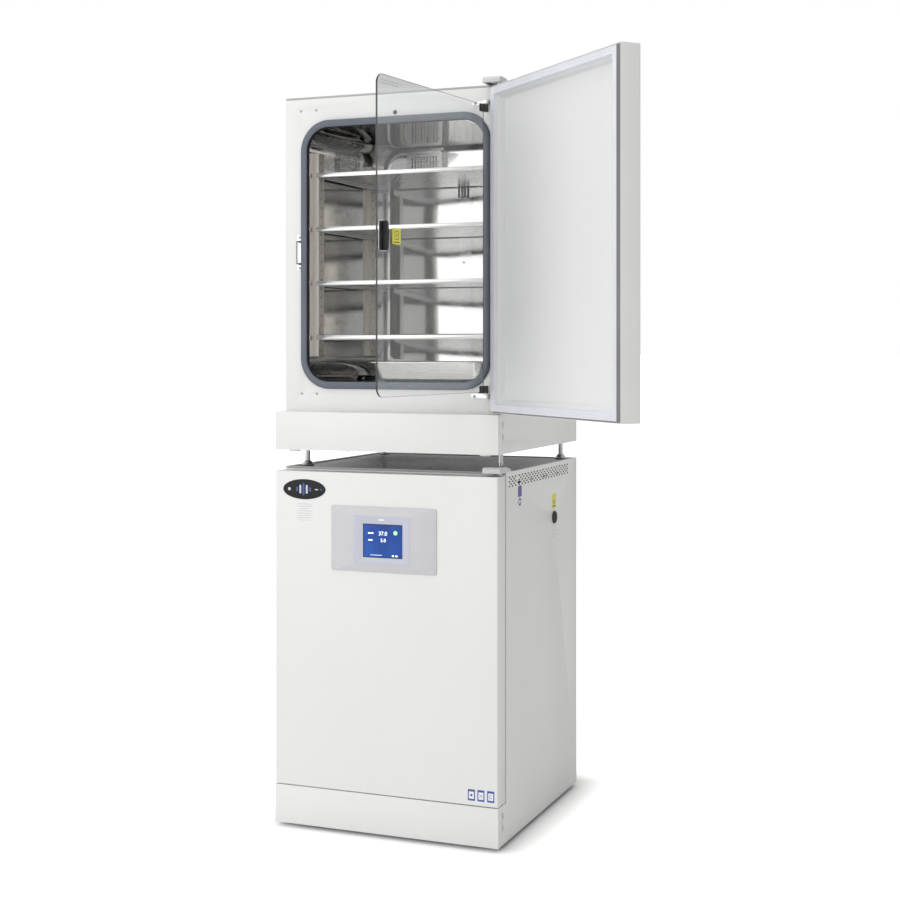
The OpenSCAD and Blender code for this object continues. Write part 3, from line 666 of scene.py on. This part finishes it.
# Gas sample tubes, each with an end fitting and a flange on the rear wall
bm = bmesh.new()
for u in UNITS:
    m = UNIT[u]
    for x in (-10, 9):
        y = CH["y1"] - 14
        path = bent([(x, y, 745), (x, y, 808), (x, CH["y1"] + 18, 808)], 8)
        tube(bm, [m @ Vector(p) for p in path], 3.6 * MM, 16)
        lathe(bm, m @ Vector((x, y, 741)), (0, 0, 1),
              in_metres([(0, 0), (3.6, 0), (4.8, 1.2), (4.8, 5), (3.6, 6)]), 20)
        lathe(bm, m @ Vector((x, CH["y1"] - 0.2, 808)), (0, -1, 0),
              in_metres([(0, 0), (8, 0), (8, 1.4), (5, 3), (0, 3)]), 24)
add_piece(bm, "sample_tubes", Matrix.Identity(4), DARK, "cabinet",
          ["sensor_probes"])

# ---------------------------------------------------------------- doors
HALF_W = 330
DOOR_Z0, DOOR_Z1 = 108, 976


def gasket_ring(inset, y):
    x0, x1, z0, z1 = -HALF_W + inset, HALF_W - inset, DOOR_Z0 + inset, DOOR_Z1 - inset
    return [Vector(p) for p in ((x1, y, z1), (x0, y, z1), (x0, y, z0), (x1, y, z0))]


def panel_ring(s, y, r):
    """A ring of the dished panel: s is 0 at the rim of the dish and 1 at its floor."""
    return ring_rect(-300 + 4 * s, 300 - 4 * s, 138 + 7 * s, 946 - 3 * s, r, y, 8)


def rim_ring(inset, y, r):
    return ring_rect(-HALF_W + inset, HALF_W - inset, DOOR_Z0 + inset, DOOR_Z1 - inset, r, y, 8)


for u in UNITS:
    bm = bmesh.new()
    rings = [panel_ring(1.3, 30.6, 18), panel_ring(1.0, 30.6, 18), panel_ring(-0.15, 51, 10),
             rim_ring(2.6, 51, 2), rim_ring(2.6, 53, 2), panel_ring(-0.1, 53, 10),
             panel_ring(0.0, 52.6, 10), panel_ring(0.1, 51.4, 10.5), panel_ring(0.66, 38, 15),
             panel_ring(0.75, 35.6, 16), panel_ring(0.88, 33.7, 17), panel_ring(1.05, 32.7, 18),
             panel_ring(1.3, 32.5, 18)]
    loft(bm, rings)
    add_piece(bm, u + "_door_panel_form", DOOR[u], MOULDED, u + "_door",
              [u + "_door_panel"], sharp=60)

    bm = bmesh.new()
    profile = [(3, 53), (3, 54), (4.4, 54.6), (5.0, 56), (5.4, 60.8), (6.2, 62.2), (7.4, 62.65),
               (10, 62.65), (10.8, 62.0), (11.6, 62.0), (12.4, 62.65), (16.2, 62.65), (17, 62.0),
               (17.8, 62.0), (18.6, 62.65), (22.6, 62.6), (24.4, 62.0), (25.4, 60.2), (26, 57.6),
               (26.8, 56), (27.9, 55.2), (27.9, 53.1), (27.5, 53)]
    made = loft(bm, [gasket_ring(d, y) for d, y in profile], caps=False, closed=True)
    # The outer flank rows take the darker painted-shade copy of the gasket vinyl
    for k in (0, 1, 2, 3, 4):
        for f in made[k]:
            f.material_index = 1
    add_piece(bm, u + "_door_gasket_form", DOOR[u], [GASKET, GASKET_PAINTED_SHADE], u + "_door",
              [u + "_door_gasket"], sharp=48)

# Bezel: broad wings rise in a soft curve to a flat surround
BEZEL = dict(z=798.0, hx=156.0, hz=89.0, ix=86.0, iz=68.0, t=12.0)
for u in UNITS:
    bz = BEZEL["z"]
    bm = bmesh.new()

    def bezel_ring(s, y, r):
        hx = BEZEL["hx"] + (BEZEL["ix"] - BEZEL["hx"]) * s
        hz = BEZEL["hz"] + (BEZEL["iz"] - BEZEL["hz"]) * s
        return ring_rect(-hx, hx, bz - hz, bz + hz, r, y, 5)

    rings = [bezel_ring(0, 0, 5), bezel_ring(0, -1.6, 5), bezel_ring(0.008, -2.6, 5),
             bezel_ring(0.03, -3.3, 5)]
    rings += [bezel_ring(0.03 + 0.94 * s, -3.3 - 8.2 * math.sin(s * math.pi / 2) ** 1.15, 5)
              for s in (0.1, 0.2, 0.32, 0.45, 0.6, 0.78)]
    rings += [bezel_ring(0.985, -11.8, 5), bezel_ring(1.0, -12, 5),
              ring_rect(-70.4, 70.4, bz - 54.4, bz + 54.4, 2, -12, 5),
              ring_rect(-70, 70, bz - 54, bz + 54, 2, -11.6, 5),
              ring_rect(-70, 70, bz - 54, bz + 54, 2, -2, 5)]
    loft(bm, rings)
    add_piece(bm, u + "_bezel_form", DOOR[u], GREY_PLASTIC, u + "_door",
              [u + "_control_bezel"], sharp=28)

    # Flat surround with the window for the display
    bm = bmesh.new()
    a, b = 83.0, 65.0
    wx0, wx1, wz0, wz1 = -55.0, 61.0, bz - 48.0, bz + 43.0
    rings = [ring_rect(-a, a, bz - b, bz + b, 3, -11.9, 4),
             ring_rect(-a, a, bz - b, bz + b, 3, -12.5, 4),
             ring_rect(-a + 0.4, a - 0.4, bz - b + 0.4, bz + b - 0.4, 3, -12.8, 4),
             ring_rect(wx0 - 1.6, wx1 + 1.6, wz0 - 1.6, wz1 + 1.6, 1, -12.8, 4),
             ring_rect(wx0 - 0.6, wx1 + 0.6, wz0 - 0.6, wz1 + 0.6, 1, -12.3, 4),
             ring_rect(wx0, wx1, wz0, wz1, 0.8, -11.4, 4),
             ring_rect(wx0, wx1, wz0, wz1, 0.8, -10.2, 4),
             ring_rect(-a + 14, a - 14, bz - 53.5, bz + 53.5, 1, -10.2, 4)]
    loft(bm, rings, caps=False, closed=True)
    add_piece(bm, u + "_screen_surround", DOOR[u], LAVENDER, u + "_door")
    bm = bmesh.new()
    loft(bm, [ring_rect(-69.7, 69.7, bz - 53.7, bz + 53.7, 1, y, 3) for y in (-2, -10.1)])
    add_piece(bm, u + "_display_form", DOOR[u], DISPLAY, u + "_door",
              [u + "_touch_screen"])

    # What the display shows: two readings, with plain bars in place of words
    sx, sz = (wx0 + wx1) / 2, (wz0 + wz1) / 2
    for text, dx, dz, h in (("37.0", 0.0, 20.0, 15.0), ("5.0", 1.0, 1.5, 13.5)):
        t = lettering(text, h, "figures")
        add_piece(t, f"{u}_reading_{text.replace('.', '_')}", DOOR[u] @ Matrix.Translation(
            (sx + dx, -10.35, sz + dz)), LIT_WHITE, u + "_door")
    bm = bmesh.new()
    for dx, dz, w, h in ((-36, 20.5, 16, 3.4), (-37, 2, 12, 3.4), (30, -39, 6, 4), (40, -39, 6, 4),
                         (-20, -38.5, 34, 0.9)):
        box(bm, sx + dx - w / 2, sx + dx + w / 2, -10.5, -10.05, sz + dz - h / 2, sz + dz + h / 2)
    add_piece(bm, u + "_display_bars", DOOR[u], LIT_WHITE, u + "_door")
    bm = bmesh.new()
    lathe(bm, (sx + 37, -10.05, sz + 23), (0, -1, 0), disc(6, 0.3), 28)
    add_piece(bm, u + "_display_disc", DOOR[u], LIT_GREEN, u + "_door")
    bm = bmesh.new()
    box(bm, sx + 33.5, sx + 40.5, -10.6, -10.1, sz + 22.2, sz + 23.8)
    add_piece(bm, u + "_display_disc_bar", DOOR[u], LIT_WHITE, u + "_door")
    bm = bmesh.new()
    loft(bm, [ring_rect(wx0 - 0.5, wx1 + 0.5, wz0 - 0.5, wz1 + 0.5, 0.8, -10.3, 3),
              ring_rect(wx0 - 0.5, wx1 + 0.5, wz0 - 0.5, wz1 + 0.5, 0.8, -10.8, 3),
              ring_rect(wx0 + 1.6, wx1 - 1.6, wz0 + 1.6, wz1 - 1.6, 0.8, -10.8, 3),
              ring_rect(wx0 + 1.6, wx1 - 1.6, wz0 + 1.6, wz1 - 1.6, 0.8, -10.3, 3)],
         caps=False, closed=True)
    add_piece(bm, u + "_display_border", DOOR[u], BLACK, u + "_door")
    bm = bmesh.new()
    loft(bm, [ring_rect(-9, 9, bz + 52.5, bz + 57, 2.2, y, 5) for y in (-12.6, -13.1)])
    add_piece(bm, u + "_sensor_window", DOOR[u], PALE, u + "_door")

    # Badge: a domed dark oval in a pale rim, with plain bars for a device
    bx, bzz, A, B = -239.0, 927.0, 67.0, 29.5
    bm = bmesh.new()
    loft(bm, [ring_ellipse(bx, bzz, A, B, 0), ring_ellipse(bx, bzz, A, B, -0.8),
              ring_ellipse(bx, bzz, A - 0.5, B - 0.5, -1.2),
              ring_ellipse(bx, bzz, A - 1.4, B - 1.4, -1.2),
              ring_ellipse(bx, bzz, A - 1.6, B - 1.6, -0.6)])
    add_piece(bm, u + "_badge_rim", DOOR[u], PALE, u + "_door", [u + "_badge"])
    bm = bmesh.new()
    dome = [ring_ellipse(bx, bzz, A - 1.5, B - 1.5, -0.5)]
    for s in (0.99, 0.95, 0.88, 0.75, 0.55, 0.3, 0.1):
        dome.append(ring_ellipse(bx, bzz, (A - 1.5) * s, (B - 1.5) * s,
                                 -0.7 - 0.6 * math.sqrt(1 - s * s)))
    loft(bm, dome)
    add_piece(bm, u + "_badge_dome", DOOR[u], LACQUER, u + "_door", sharp=60)
    bm = bmesh.new()
    for k, (dx, w, h) in enumerate(((-22, 6, 12), (-12, 6, 24), (-2, 6, 34), (8, 6, 24),
                                    (18, 6, 12), (38, 10, 3), (52, 6, 3), (-46, 8, 8))):
        loft(bm, [ring_rect(bx + dx - w / 2, bx + dx + w / 2, bzz - h / 2, bzz + h / 2, 2.4, y, 4)
                  for y in (-0.8, -1.55)], mat=k % 2)
    add_piece(bm, u + "_badge_bars", DOOR[u], [BLUE, FAINT], u + "_door")

    # Faint label under the badge and three small pictograms at the lower corner
    bm = bmesh.new()
    for k, w in enumerate((46, 48, 30, 46, 47, 40, 48, 34)):
        z = 886 - 6.3 * k
        box(bm, -238 - w / 2, -238 + w / 2, -0.14, 0.05, z - 0.9, z + 0.9)
    add_piece(bm, u + "_faint_label", DOOR[u], FAINT, u + "_door")
    bm = bmesh.new()
    for k, cx in enumerate((255.0, 282.0, 309.5)):
        z0, z1 = 120.0, 150.0
        loft(bm, [ring_rect(cx - 10, cx + 10, z0, z1, 1.2, y, 3) for y in (0.05, -0.16)], mat=0)
        loft(bm, [ring_rect(cx - 7, cx + 7, z0 + 5, z1 - 6, 0.8, y, 3) for y in (-0.1, -0.24)],
             mat=1)
        if k == 0:
            lathe(bm, (cx, -0.2, 134.5), (0, -1, 0), disc(3.4, 0.12), 20)
        elif k == 1:
            for a in (45, -45):
                d = Vector((math.cos(math.radians(a)), 0, math.sin(math.radians(a))))
                tube(bm, [Vector((cx, -0.24, 134.5)) + d * t for t in (-6.5, 0, 6.5)], 0.5, 6)
        else:
            pts = [(cx + 3.6 * math.cos(t), -0.24, 134.5 + 4.6 * math.sin(t))
                   for t in map(math.radians, range(30, 331, 20))]
            tube(bm, pts, 0.6, 6)
    add_piece(bm, u + "_pictograms", DOOR[u], [BLUE, PALE], u + "_door")

# ---------------------------------------------------------------- glass inner door
for u in UNITS:
    body = u + "_glass"
    x0, x1, z0, z1, y0, y1 = -280.0, 271.0, 164.0, 930.0, 48.7, 53.7
    c = 0.7
    bm = bmesh.new()
    made = loft(bm, [ring_rect(x0 + c, x1 - c, z0 + c, z1 - c, 25 - c, y0, 10),
                     ring_rect(x0, x1, z0, z1, 25, y0 + c, 10),
                     ring_rect(x0, x1, z0, z1, 25, y1 - c, 10),
                     ring_rect(x0 + c, x1 - c, z0 + c, z1 - c, 25 - c, y1, 10)])
    # The chamfers and the edge of the pane take the near-black painted shade
    for row in made[:3]:
        for f in row:
            f.material_index = 1
    add_piece(bm, u + "_pane", GLASS[u], [GLASS_CLEAR, GLASS_EDGE_PAINTED_SHADE], body,
              [u + "_glass_door"], sharp=20)
    bevelled(u + "_glass_clamps", DARK, 0.8, body)
    paint_node(u + "_glass_hinge_pins", CHROME)

    # Two faint lines near the top edge and a plain yellow label by the latch
    bm = bmesh.new()
    for k, w in enumerate((96, 84)):
        box(bm, -262, -262 + w, y0 - 0.12, y0 + 0.02, 915 - 7 * k, 917.4 - 7 * k)
    add_piece(bm, u + "_pane_lines", GLASS[u], FAINT, body)
    bm = bmesh.new()
    lx, lz = -190.0, 549.0
    loft(bm, [ring_rect(lx - 20, lx + 20, lz - 19.5, lz + 19.5, 2, y, 3)
              for y in (y0 + 0.02, y0 - 0.14)])
    add_piece(bm, u + "_yellow_label", GLASS[u], YELLOW, body)
    bm = bmesh.new()
    for dx, dz, w, h in ((-1, -14, 26, 2.4), (11, -13.5, 5, 1.4), (0, 12, 18, 1.6),
                         (0, -7, 18, 1.6), (-9, 2.5, 1.8, 20), (9, 2.5, 1.8, 20),
                         (0, 2.5, 3, 9)):
        box(bm, lx + dx - w / 2, lx + dx + w / 2, y0 - 0.22, y0 - 0.12, lz + dz - h / 2,
            lz + dz + h / 2)
    add_piece(bm, u + "_label_bars", GLASS[u], INK, body)

    # Rotary latch: backing plate, rosette, spindle, rounded handle with a raised grip
    kx, kz = -258.0, 547.0
    bm = bmesh.new()
    loft(bm, [ring_rect(kx - 16, kx + 19, kz - 37, kz + 37, 4, y, 4) for y in (48.65, 47.6)])
    add_piece(bm, u + "_latch_plate", GLASS[u], CHROME, body)
    bm = bmesh.new()
    lathe(bm, (kx, 48.0, kz), (0, -1, 0),
          [(0, 0), (13.6, 0), (14, 0.6), (14, 6), (13, 7.4), (0, 7.4)], 36)
    lathe(bm, (kx, 53.6, kz), (0, -1, 0), [(0, -0.2), (4, -0.2), (4, 6), (0, 6)], 20)

    def grip(hx, hz, y, r):
        return ring_rect(kx - hx, kx + hx, kz - hz, kz + hz, r, y, 8)

    loft(bm, [grip(8, 33, 40.6, 8), grip(10.2, 35.2, 40.2, 10), grip(11, 36, 39, 11),
              grip(11, 36, 37.4, 11), grip(10, 35, 36.2, 10), grip(7.6, 32, 35.8, 7.6)])
    loft(bm, [grip(10.4, 20, 38.5, 10), grip(11.6, 19, 37, 11), grip(11, 17.5, 35.6, 10.6),
              grip(8, 13, 34.9, 8), grip(4, 7, 34.7, 4)])
    add_piece(bm, u + "_latch_form", GLASS[u], BLACK, u + "_latch",
              [u + "_glass_latch"], sharp=35)

    # Housing that stays on the glass behind the handle, and a small rivet in the handle
    bm = bmesh.new()
    loft(bm, [ring_rect(kx - 12, kx + 17, kz - 35, kz + 35, 9, y, 6) for y in (47.7, 46.4, 42.2)])
    loft(bm, [ring_rect(kx + 4 + c, kx + 22 - c, kz - 20 + c, kz + 20 - c, 8, y, 6)
              for c, y in ((0, 47.7), (0, 42.8), (0.8, 41.8), (2.4, 41.4))])
    add_piece(bm, u + "_latch_housing", GLASS[u], BLACK, body, sharp=35)
    bm = bmesh.new()
    lathe(bm, (kx, 34.9, kz + 1), (0, -1, 0), [(0, 0), (1.9, 0), (1.9, 0.1), (0, 0.16)], 20)
    add_piece(bm, u + "_latch_rivet", GLASS[u], CHROME, u + "_latch")

bevelled("glass_hinge_brackets", BRUSHED_X, 0.6, "cabinet")

# Strikes: a bent wire loop on a plate
STRIKE_X, STRIKE_Z = -285.0, 549.0
bm = bmesh.new()
for u in UNITS:
    m = UNIT[u]
    sx, sz = STRIKE_X, STRIKE_Z
    path = bent([(sx, 61.5, sz - 31), (sx, 43.3, sz - 31), (sx, 43.3, sz + 31),
                 (sx, 61.5, sz + 31)], 4)
    tube(bm, [m @ Vector(p) for p in path], 2 * MM, 14, mat=1)
    for e in (-31, 31):
        lathe(bm, m @ Vector((sx, 61.0, sz + e)), (0, -1, 0),
              in_metres([(0, 0), (3.6, 0), (3.6, 1.6), (2.2, 3.4), (0, 3.4)]), 20, mat=1)
    rings = [ring_rect(sx - 8 + c, sx + 4 - c, sz - 50 + c, sz + 50 - c, 5, y, 4)
             for c, y in ((0, 63), (0, 61.5), (0.5, 61))]
    loft(bm, [[m @ p for p in ring] for ring in rings])
add_piece(bm, "strike_loops", Matrix.Identity(4), [BRUSHED_Z, SCREW], "cabinet",
          ["latch_strikes"])


def screw_head(bm, m, p, axis, r=4.0, h=1.6):
    """A pan head with a hexagonal socket."""
    lathe(bm, m @ Vector(p), axis,
          in_metres([(0, 0), (r, 0), (r, h * 0.35), (r * 0.86, h * 0.75), (r * 0.55, h),
                     (r * 0.42, h)]), 24)
    lathe(bm, m @ Vector(p), axis,
          in_metres([(0, h * 0.3), (r * 0.42, h * 0.3), (r * 0.42, h * 0.98), (0, h * 0.35)]), 6)


bm = bmesh.new()
FACE_Y = 63.0
for u in UNITS:
    m = UNIT[u]
    for x, z in ((-282, 947), (-234, 947), (-279, 154), (-232, 154)):
        screw_head(bm, m, (x, FACE_Y + 1.35, z), (0, -1, 0))
        lathe(bm, m @ Vector((x, FACE_Y + 1, z)), (0, -1, 0),
              in_metres([(0, 0), (4, 0), (4, 1.1), (1.7, 1.2), (0, 1.05)]), 24)
    for e in (-43, 43):
        screw_head(bm, m, (STRIKE_X, FACE_Y - 2, STRIKE_Z + e), (0, -1, 0), 3.5, 1.5)
    for z in (152, 938):
        screw_head(bm, m, (240, FACE_Y - 3, z), (0, -1, 0), 4, 2)
add_piece(bm, "face_screw_heads", Matrix.Identity(4), SCREW, "cabinet",
          ["face_screws"])

# Rear panel and plinth screws
bm = bmesh.new()
for u in UNITS:
    m = UNIT[u]
    rear_y = in_unit(u, u + "_cabinet_shell")[1].y
    for z in (40, 270, 500, 730, 955):
        for x in (-316, 316):
            screw_head(bm, m, (x, rear_y, z), (0, 1, 0), 4, 2)
    for x in (-110, 90):
        screw_head(bm, m, (x, 11, 0), (0, 0, -1), 4, 2)
add_piece(bm, "cover_screws", Matrix.Identity(4), SCREW, "cabinet")

bm = bmesh.new()
for u in UNITS:
    m = UNIT[u]
    lathe(bm, m @ Vector((4, FACE_Y, 928)), (0, -1, 0),
          in_metres([(0, 0), (6, 0), (6, 0.8), (4, 1.2), (4, 4.2), (3, 5), (0, 5)]), 24)
add_piece(bm, "door_switch_buttons", Matrix.Identity(4), DARK, "cabinet",
          ["door_switches"])

# ---------------------------------------------------------------- feet and glides
bm = bmesh.new()
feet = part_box("levelling_feet")
foot_x = feet[1].x - 22 * MM
foot_y = (feet[0].y + 22 * MM, feet[1].y - 22 * MM)
for u, h, R in (("lower", 12.0, 22.0), ("upper", 53.0, 19.5)):
    base = (UNIT[u] @ Vector((0, 0, 0))).z - h * MM
    prof = [(0, 0), (R - 3.2, 0), (R - 2, 0.8), (R - 2, 2.6)]
    pad = [(R - 2.2, 2.3), (R - 0.4, 2.3), (R, 2.8), (R, 4.2), (R - 0.5, 5.0), (R - 3.6, 6.0)]
    pad += [(12.4, 7.4), (10.6, 8.6), (10.0, 9.4)] if h < 20 else \
        [(14.6, 7.4), (13.2, 9.2), (12.8, 10.6), (11.6, 11.4)]
    stem = [(10.0, 9.2), (10.0, 10.4), (7.4, 11.0)] if h < 20 else \
        [(11.6, 11.2), (11.8, 12.6), (11.2, 13.6), (8.4, 14.4), (7.5, 15.2)]
    z = stem[-1][1]
    while z + 1.75 < h + 3:
        stem += [(6.7, z + 0.5), (7.4, z + 0.9), (7.4, z + 1.2), (6.7, z + 1.7)]
        z += 1.75
    stem += [(6.6, h + 24), (0, h + 24)]
    for x in (-foot_x, foot_x):
        for y in foot_y:
            o = (x, y, base)
            lathe(bm, o, (0, 0, 1), in_metres(prof + [(0, 2.6)]), 32, 1)
            lathe(bm, o, (0, 0, 1), in_metres([(0, 2.3)] + pad), 40)
            lathe(bm, o, (0, 0, 1), in_metres(stem), 24)
add_piece(bm, "feet_form", Matrix.Identity(4), [CHROME, RUBBER], "cabinet",
          ["levelling_feet"], sharp=30)

bm = bmesh.new()
for u in UNITS:
    for x in (-284, 284):
        lathe(bm, UNIT[u] @ Vector((x, 30, -5)), (0, 0, 1),
              in_metres([(0, 0), (14.6, 0), (16, 1), (16, 4), (15, 4.8), (0, 4.8)]), 36)
add_piece(bm, "glides_form", Matrix.Identity(4), WHITE_PLASTIC, "cabinet",
          ["plinth_glides"])

# ---------------------------------------------------------------- side and rear fittings
bm = bmesh.new()
for u in UNITS:
    m = UNIT[u]
    c = (HALF_W, 474, 825.5)
    lathe(bm, m @ Vector(c), (1, 0, 0),
          in_metres([(0, -62), (15.6, -62), (15.6, 0), (17.2, 0), (17.8, 0.8), (17.8, 3),
                     (16.6, 4.6), (12.5, 5), (10.6, 3.4), (0, 3)]), 40)
add_piece(bm, "port_plugs_form", Matrix.Identity(4), RUBBER, "cabinet",
          ["access_port_plugs"])

bm = bmesh.new()
for u in UNITS:
    m = UNIT[u]
    for x in (-240, -200):
        c = m @ Vector((x, 696, 860))
        lathe(bm, c, (0, 1, 0),
              in_metres([(0, -12), (6, -12), (6, 0), (9.2, 0), (9.2, 4), (4, 4), (4, 6), (5, 6.2),
                         (3.7, 9.4), (5, 9.6), (3.7, 12.8), (5, 13), (3.4, 17), (3.2, 20),
                         (2.2, 20), (2.2, 8), (0, 8)]), 30)
add_piece(bm, "gas_barbs", Matrix.Identity(4), BRASS, "cabinet", ["gas_inlets"])
bevelled("power_inlets", BLACK, 0.6, "cabinet")
bm = bmesh.new()
for u in UNITS:
    for x, z in ((232.5, 60), (247.5, 60), (240, 63.5)):
        p = [ring_rect(x - 1, x + 1, z - 2.4, z + 2.4, 0.6, y, 2) for y in (674, 690)]
        loft(bm, [[UNIT[u] @ q for q in ring] for ring in p])
add_piece(bm, "inlet_pins", Matrix.Identity(4), BRASS, "cabinet")

# Plain labels on the right-hand side of each cabinet
for u in UNITS:
    m = UNIT[u]
    x = HALF_W

    def label(bm, y0, y1, z0, z1, r, lift, mat):
        rings = [ring_rect(y0, y1, z0, z1, r, d, 4) for d in (0, lift)]
        loft(bm, [[Vector((x - 0.02 + p.y, p.x, p.z)) for p in ring] for ring in rings], mat=mat)

    bm = bmesh.new()
    label(bm, 158, 188, 911, 941, 1.5, 0.16, 0)
    label(bm, 455, 493, 851, 894, 2, 0.16, 1)
    label(bm, 461, 487, 856, 860, 1, 0.22, 3)
    label(bm, 463, 485, 866, 868.5, 1, 0.22, 3)
    label(bm, 466, 482, 872, 874.5, 1, 0.22, 3)
    lathe(bm, (x, 173, 897), (1, 0, 0), disc(11, 0.16), 32, 0)
    lathe(bm, (x, 173, 897), (1, 0, 0), [(0, 0.1), (5.6, 0.1), (5.6, 0.24), (0, 0.24)], 28, 2)
    for k, w in enumerate((30, 36, 26)):
        label(bm, 474 - w / 2, 474 + w / 2, 786 - 9 * k, 788 - 9 * k, 0.8, 0.14, 4)
    add_piece(bm, u + "_side_labels", m, [VIOLET, YELLOW, PALE, INK, FAINT], "cabinet")

# ---------------------------------------------------------------- stage, light and camera
bm = bmesh.new()
bmesh.ops.create_grid(bm, x_segments=1, y_segments=1, size=400)
floor = finish_mesh(bm, "floor", Matrix.Identity(4), [])
# The floor glows more with distance from the cabinet's footprint, so that it is plain away from the cabinet
# and darker round it: the soft shade there is a painted shadow.
FOOTPRINT = (0.30, 0.33, 0)
fm, nt, p = new_material("floor_paper")
v = coords(nt)
link(nt, blend_colours(nt, noise(nt, v, 2, 2), (0.84, 0.84, 0.84), (0.86, 0.86, 0.86)),
     p.inputs["Base Color"])
p.inputs["Roughness"].default_value = 0.7
p.inputs["Emission Color"].default_value = (1, 1, 1, 1)
away = nt.nodes.new("ShaderNodeVectorMath")
away.operation = "ABSOLUTE"
link(nt, v, away.inputs[0])
past = nt.nodes.new("ShaderNodeVectorMath")
past.operation = "SUBTRACT"
link(nt, away.outputs["Vector"], past.inputs[0])
past.inputs[1].default_value = FOOTPRINT
keep = nt.nodes.new("ShaderNodeVectorMath")
keep.operation = "MAXIMUM"
link(nt, past.outputs["Vector"], keep.inputs[0])
gap = nt.nodes.new("ShaderNodeVectorMath")
gap.operation = "LENGTH"
link(nt, keep.outputs["Vector"], gap.inputs[0])
seen_by = nt.nodes.new("ShaderNodeLightPath")
glow = nt.nodes.new("ShaderNodeMath")
glow.operation = "MULTIPLY"
link(nt, spread(nt, gap.outputs["Value"], 0.0, 0.8, 0.02, 0.16), glow.inputs[0])
link(nt, spread(nt, seen_by.outputs["Is Camera Ray"], 0.14, 1.0, 0.0, 1.0), glow.inputs[1])
link(nt, glow.outputs["Value"], p.inputs["Emission Strength"])
floor.data.materials.append(fm)

# White behind the object for camera rays, a graded room for all others
world = bpy.data.worlds.new("studio")
bpy.context.scene.world = world
world.use_nodes = True
nt = world.node_tree
nt.nodes.clear()
out = nt.nodes.new("ShaderNodeOutputWorld")
mix = nt.nodes.new("ShaderNodeMixShader")
seen = nt.nodes.new("ShaderNodeBackground")
seen.inputs["Color"].default_value = (1, 1, 1, 1)
seen.inputs["Strength"].default_value = 1.0
room = nt.nodes.new("ShaderNodeBackground")
room.inputs["Color"].default_value = (1.0, 0.995, 0.985, 1)
path = nt.nodes.new("ShaderNodeLightPath")
tc = nt.nodes.new("ShaderNodeTexCoord")
dot = nt.nodes.new("ShaderNodeVectorMath")
dot.operation = "DOT_PRODUCT"
dot.inputs[1].default_value = Vector((-0.72, -0.42, 0.55)).normalized()
link(nt, tc.outputs["Generated"], dot.inputs[0])
link(nt, spread(nt, dot.outputs["Value"], 0.27, 0.96, -0.9, 0.9), room.inputs["Strength"])
link(nt, path.outputs["Is Camera Ray"], mix.inputs["Fac"])
link(nt, room.outputs["Background"], mix.inputs[1])
link(nt, seen.outputs["Background"], mix.inputs[2])
link(nt, mix.outputs["Shader"], out.inputs["Surface"])


def area(name, place, target, size, power):
    light = bpy.data.lights.new(name, "AREA")
    light.shape = "SQUARE"
    light.size = size
    light.energy = power
    o = bpy.data.objects.new(name, light)
    o.location = place
    o.rotation_euler = (Vector(target) - Vector(place)).to_track_quat("-Z", "Y").to_euler()
    bpy.context.scene.collection.objects.link(o)


area("card", (-1.75, -3.6, 1.9), (0, 0.1, 1.25), 2.8, 30)
area("top", (0.0, -0.8, 4.4), (0, 0, 0.6), 2.4, 25)

cam = bpy.data.cameras.new("camera")
camera = bpy.data.objects.new("camera", cam)
bpy.context.scene.collection.objects.link(camera)
door_face = (UNIT["lower"] @ Vector((0, 0, 0))).y
camera.location = (1.7349, door_face - 3.8461, 1.3233)
camera.rotation_euler = (math.radians(90), 0, math.radians(21.832))
cam.sensor_width = 36
cam.lens = 62.34
cam.shift_y = -0.1111
cam.clip_start, cam.clip_end = 0.05, 1500
bpy.context.scene.camera = camera
bpy.context.scene.view_settings.view_transform = "Standard"
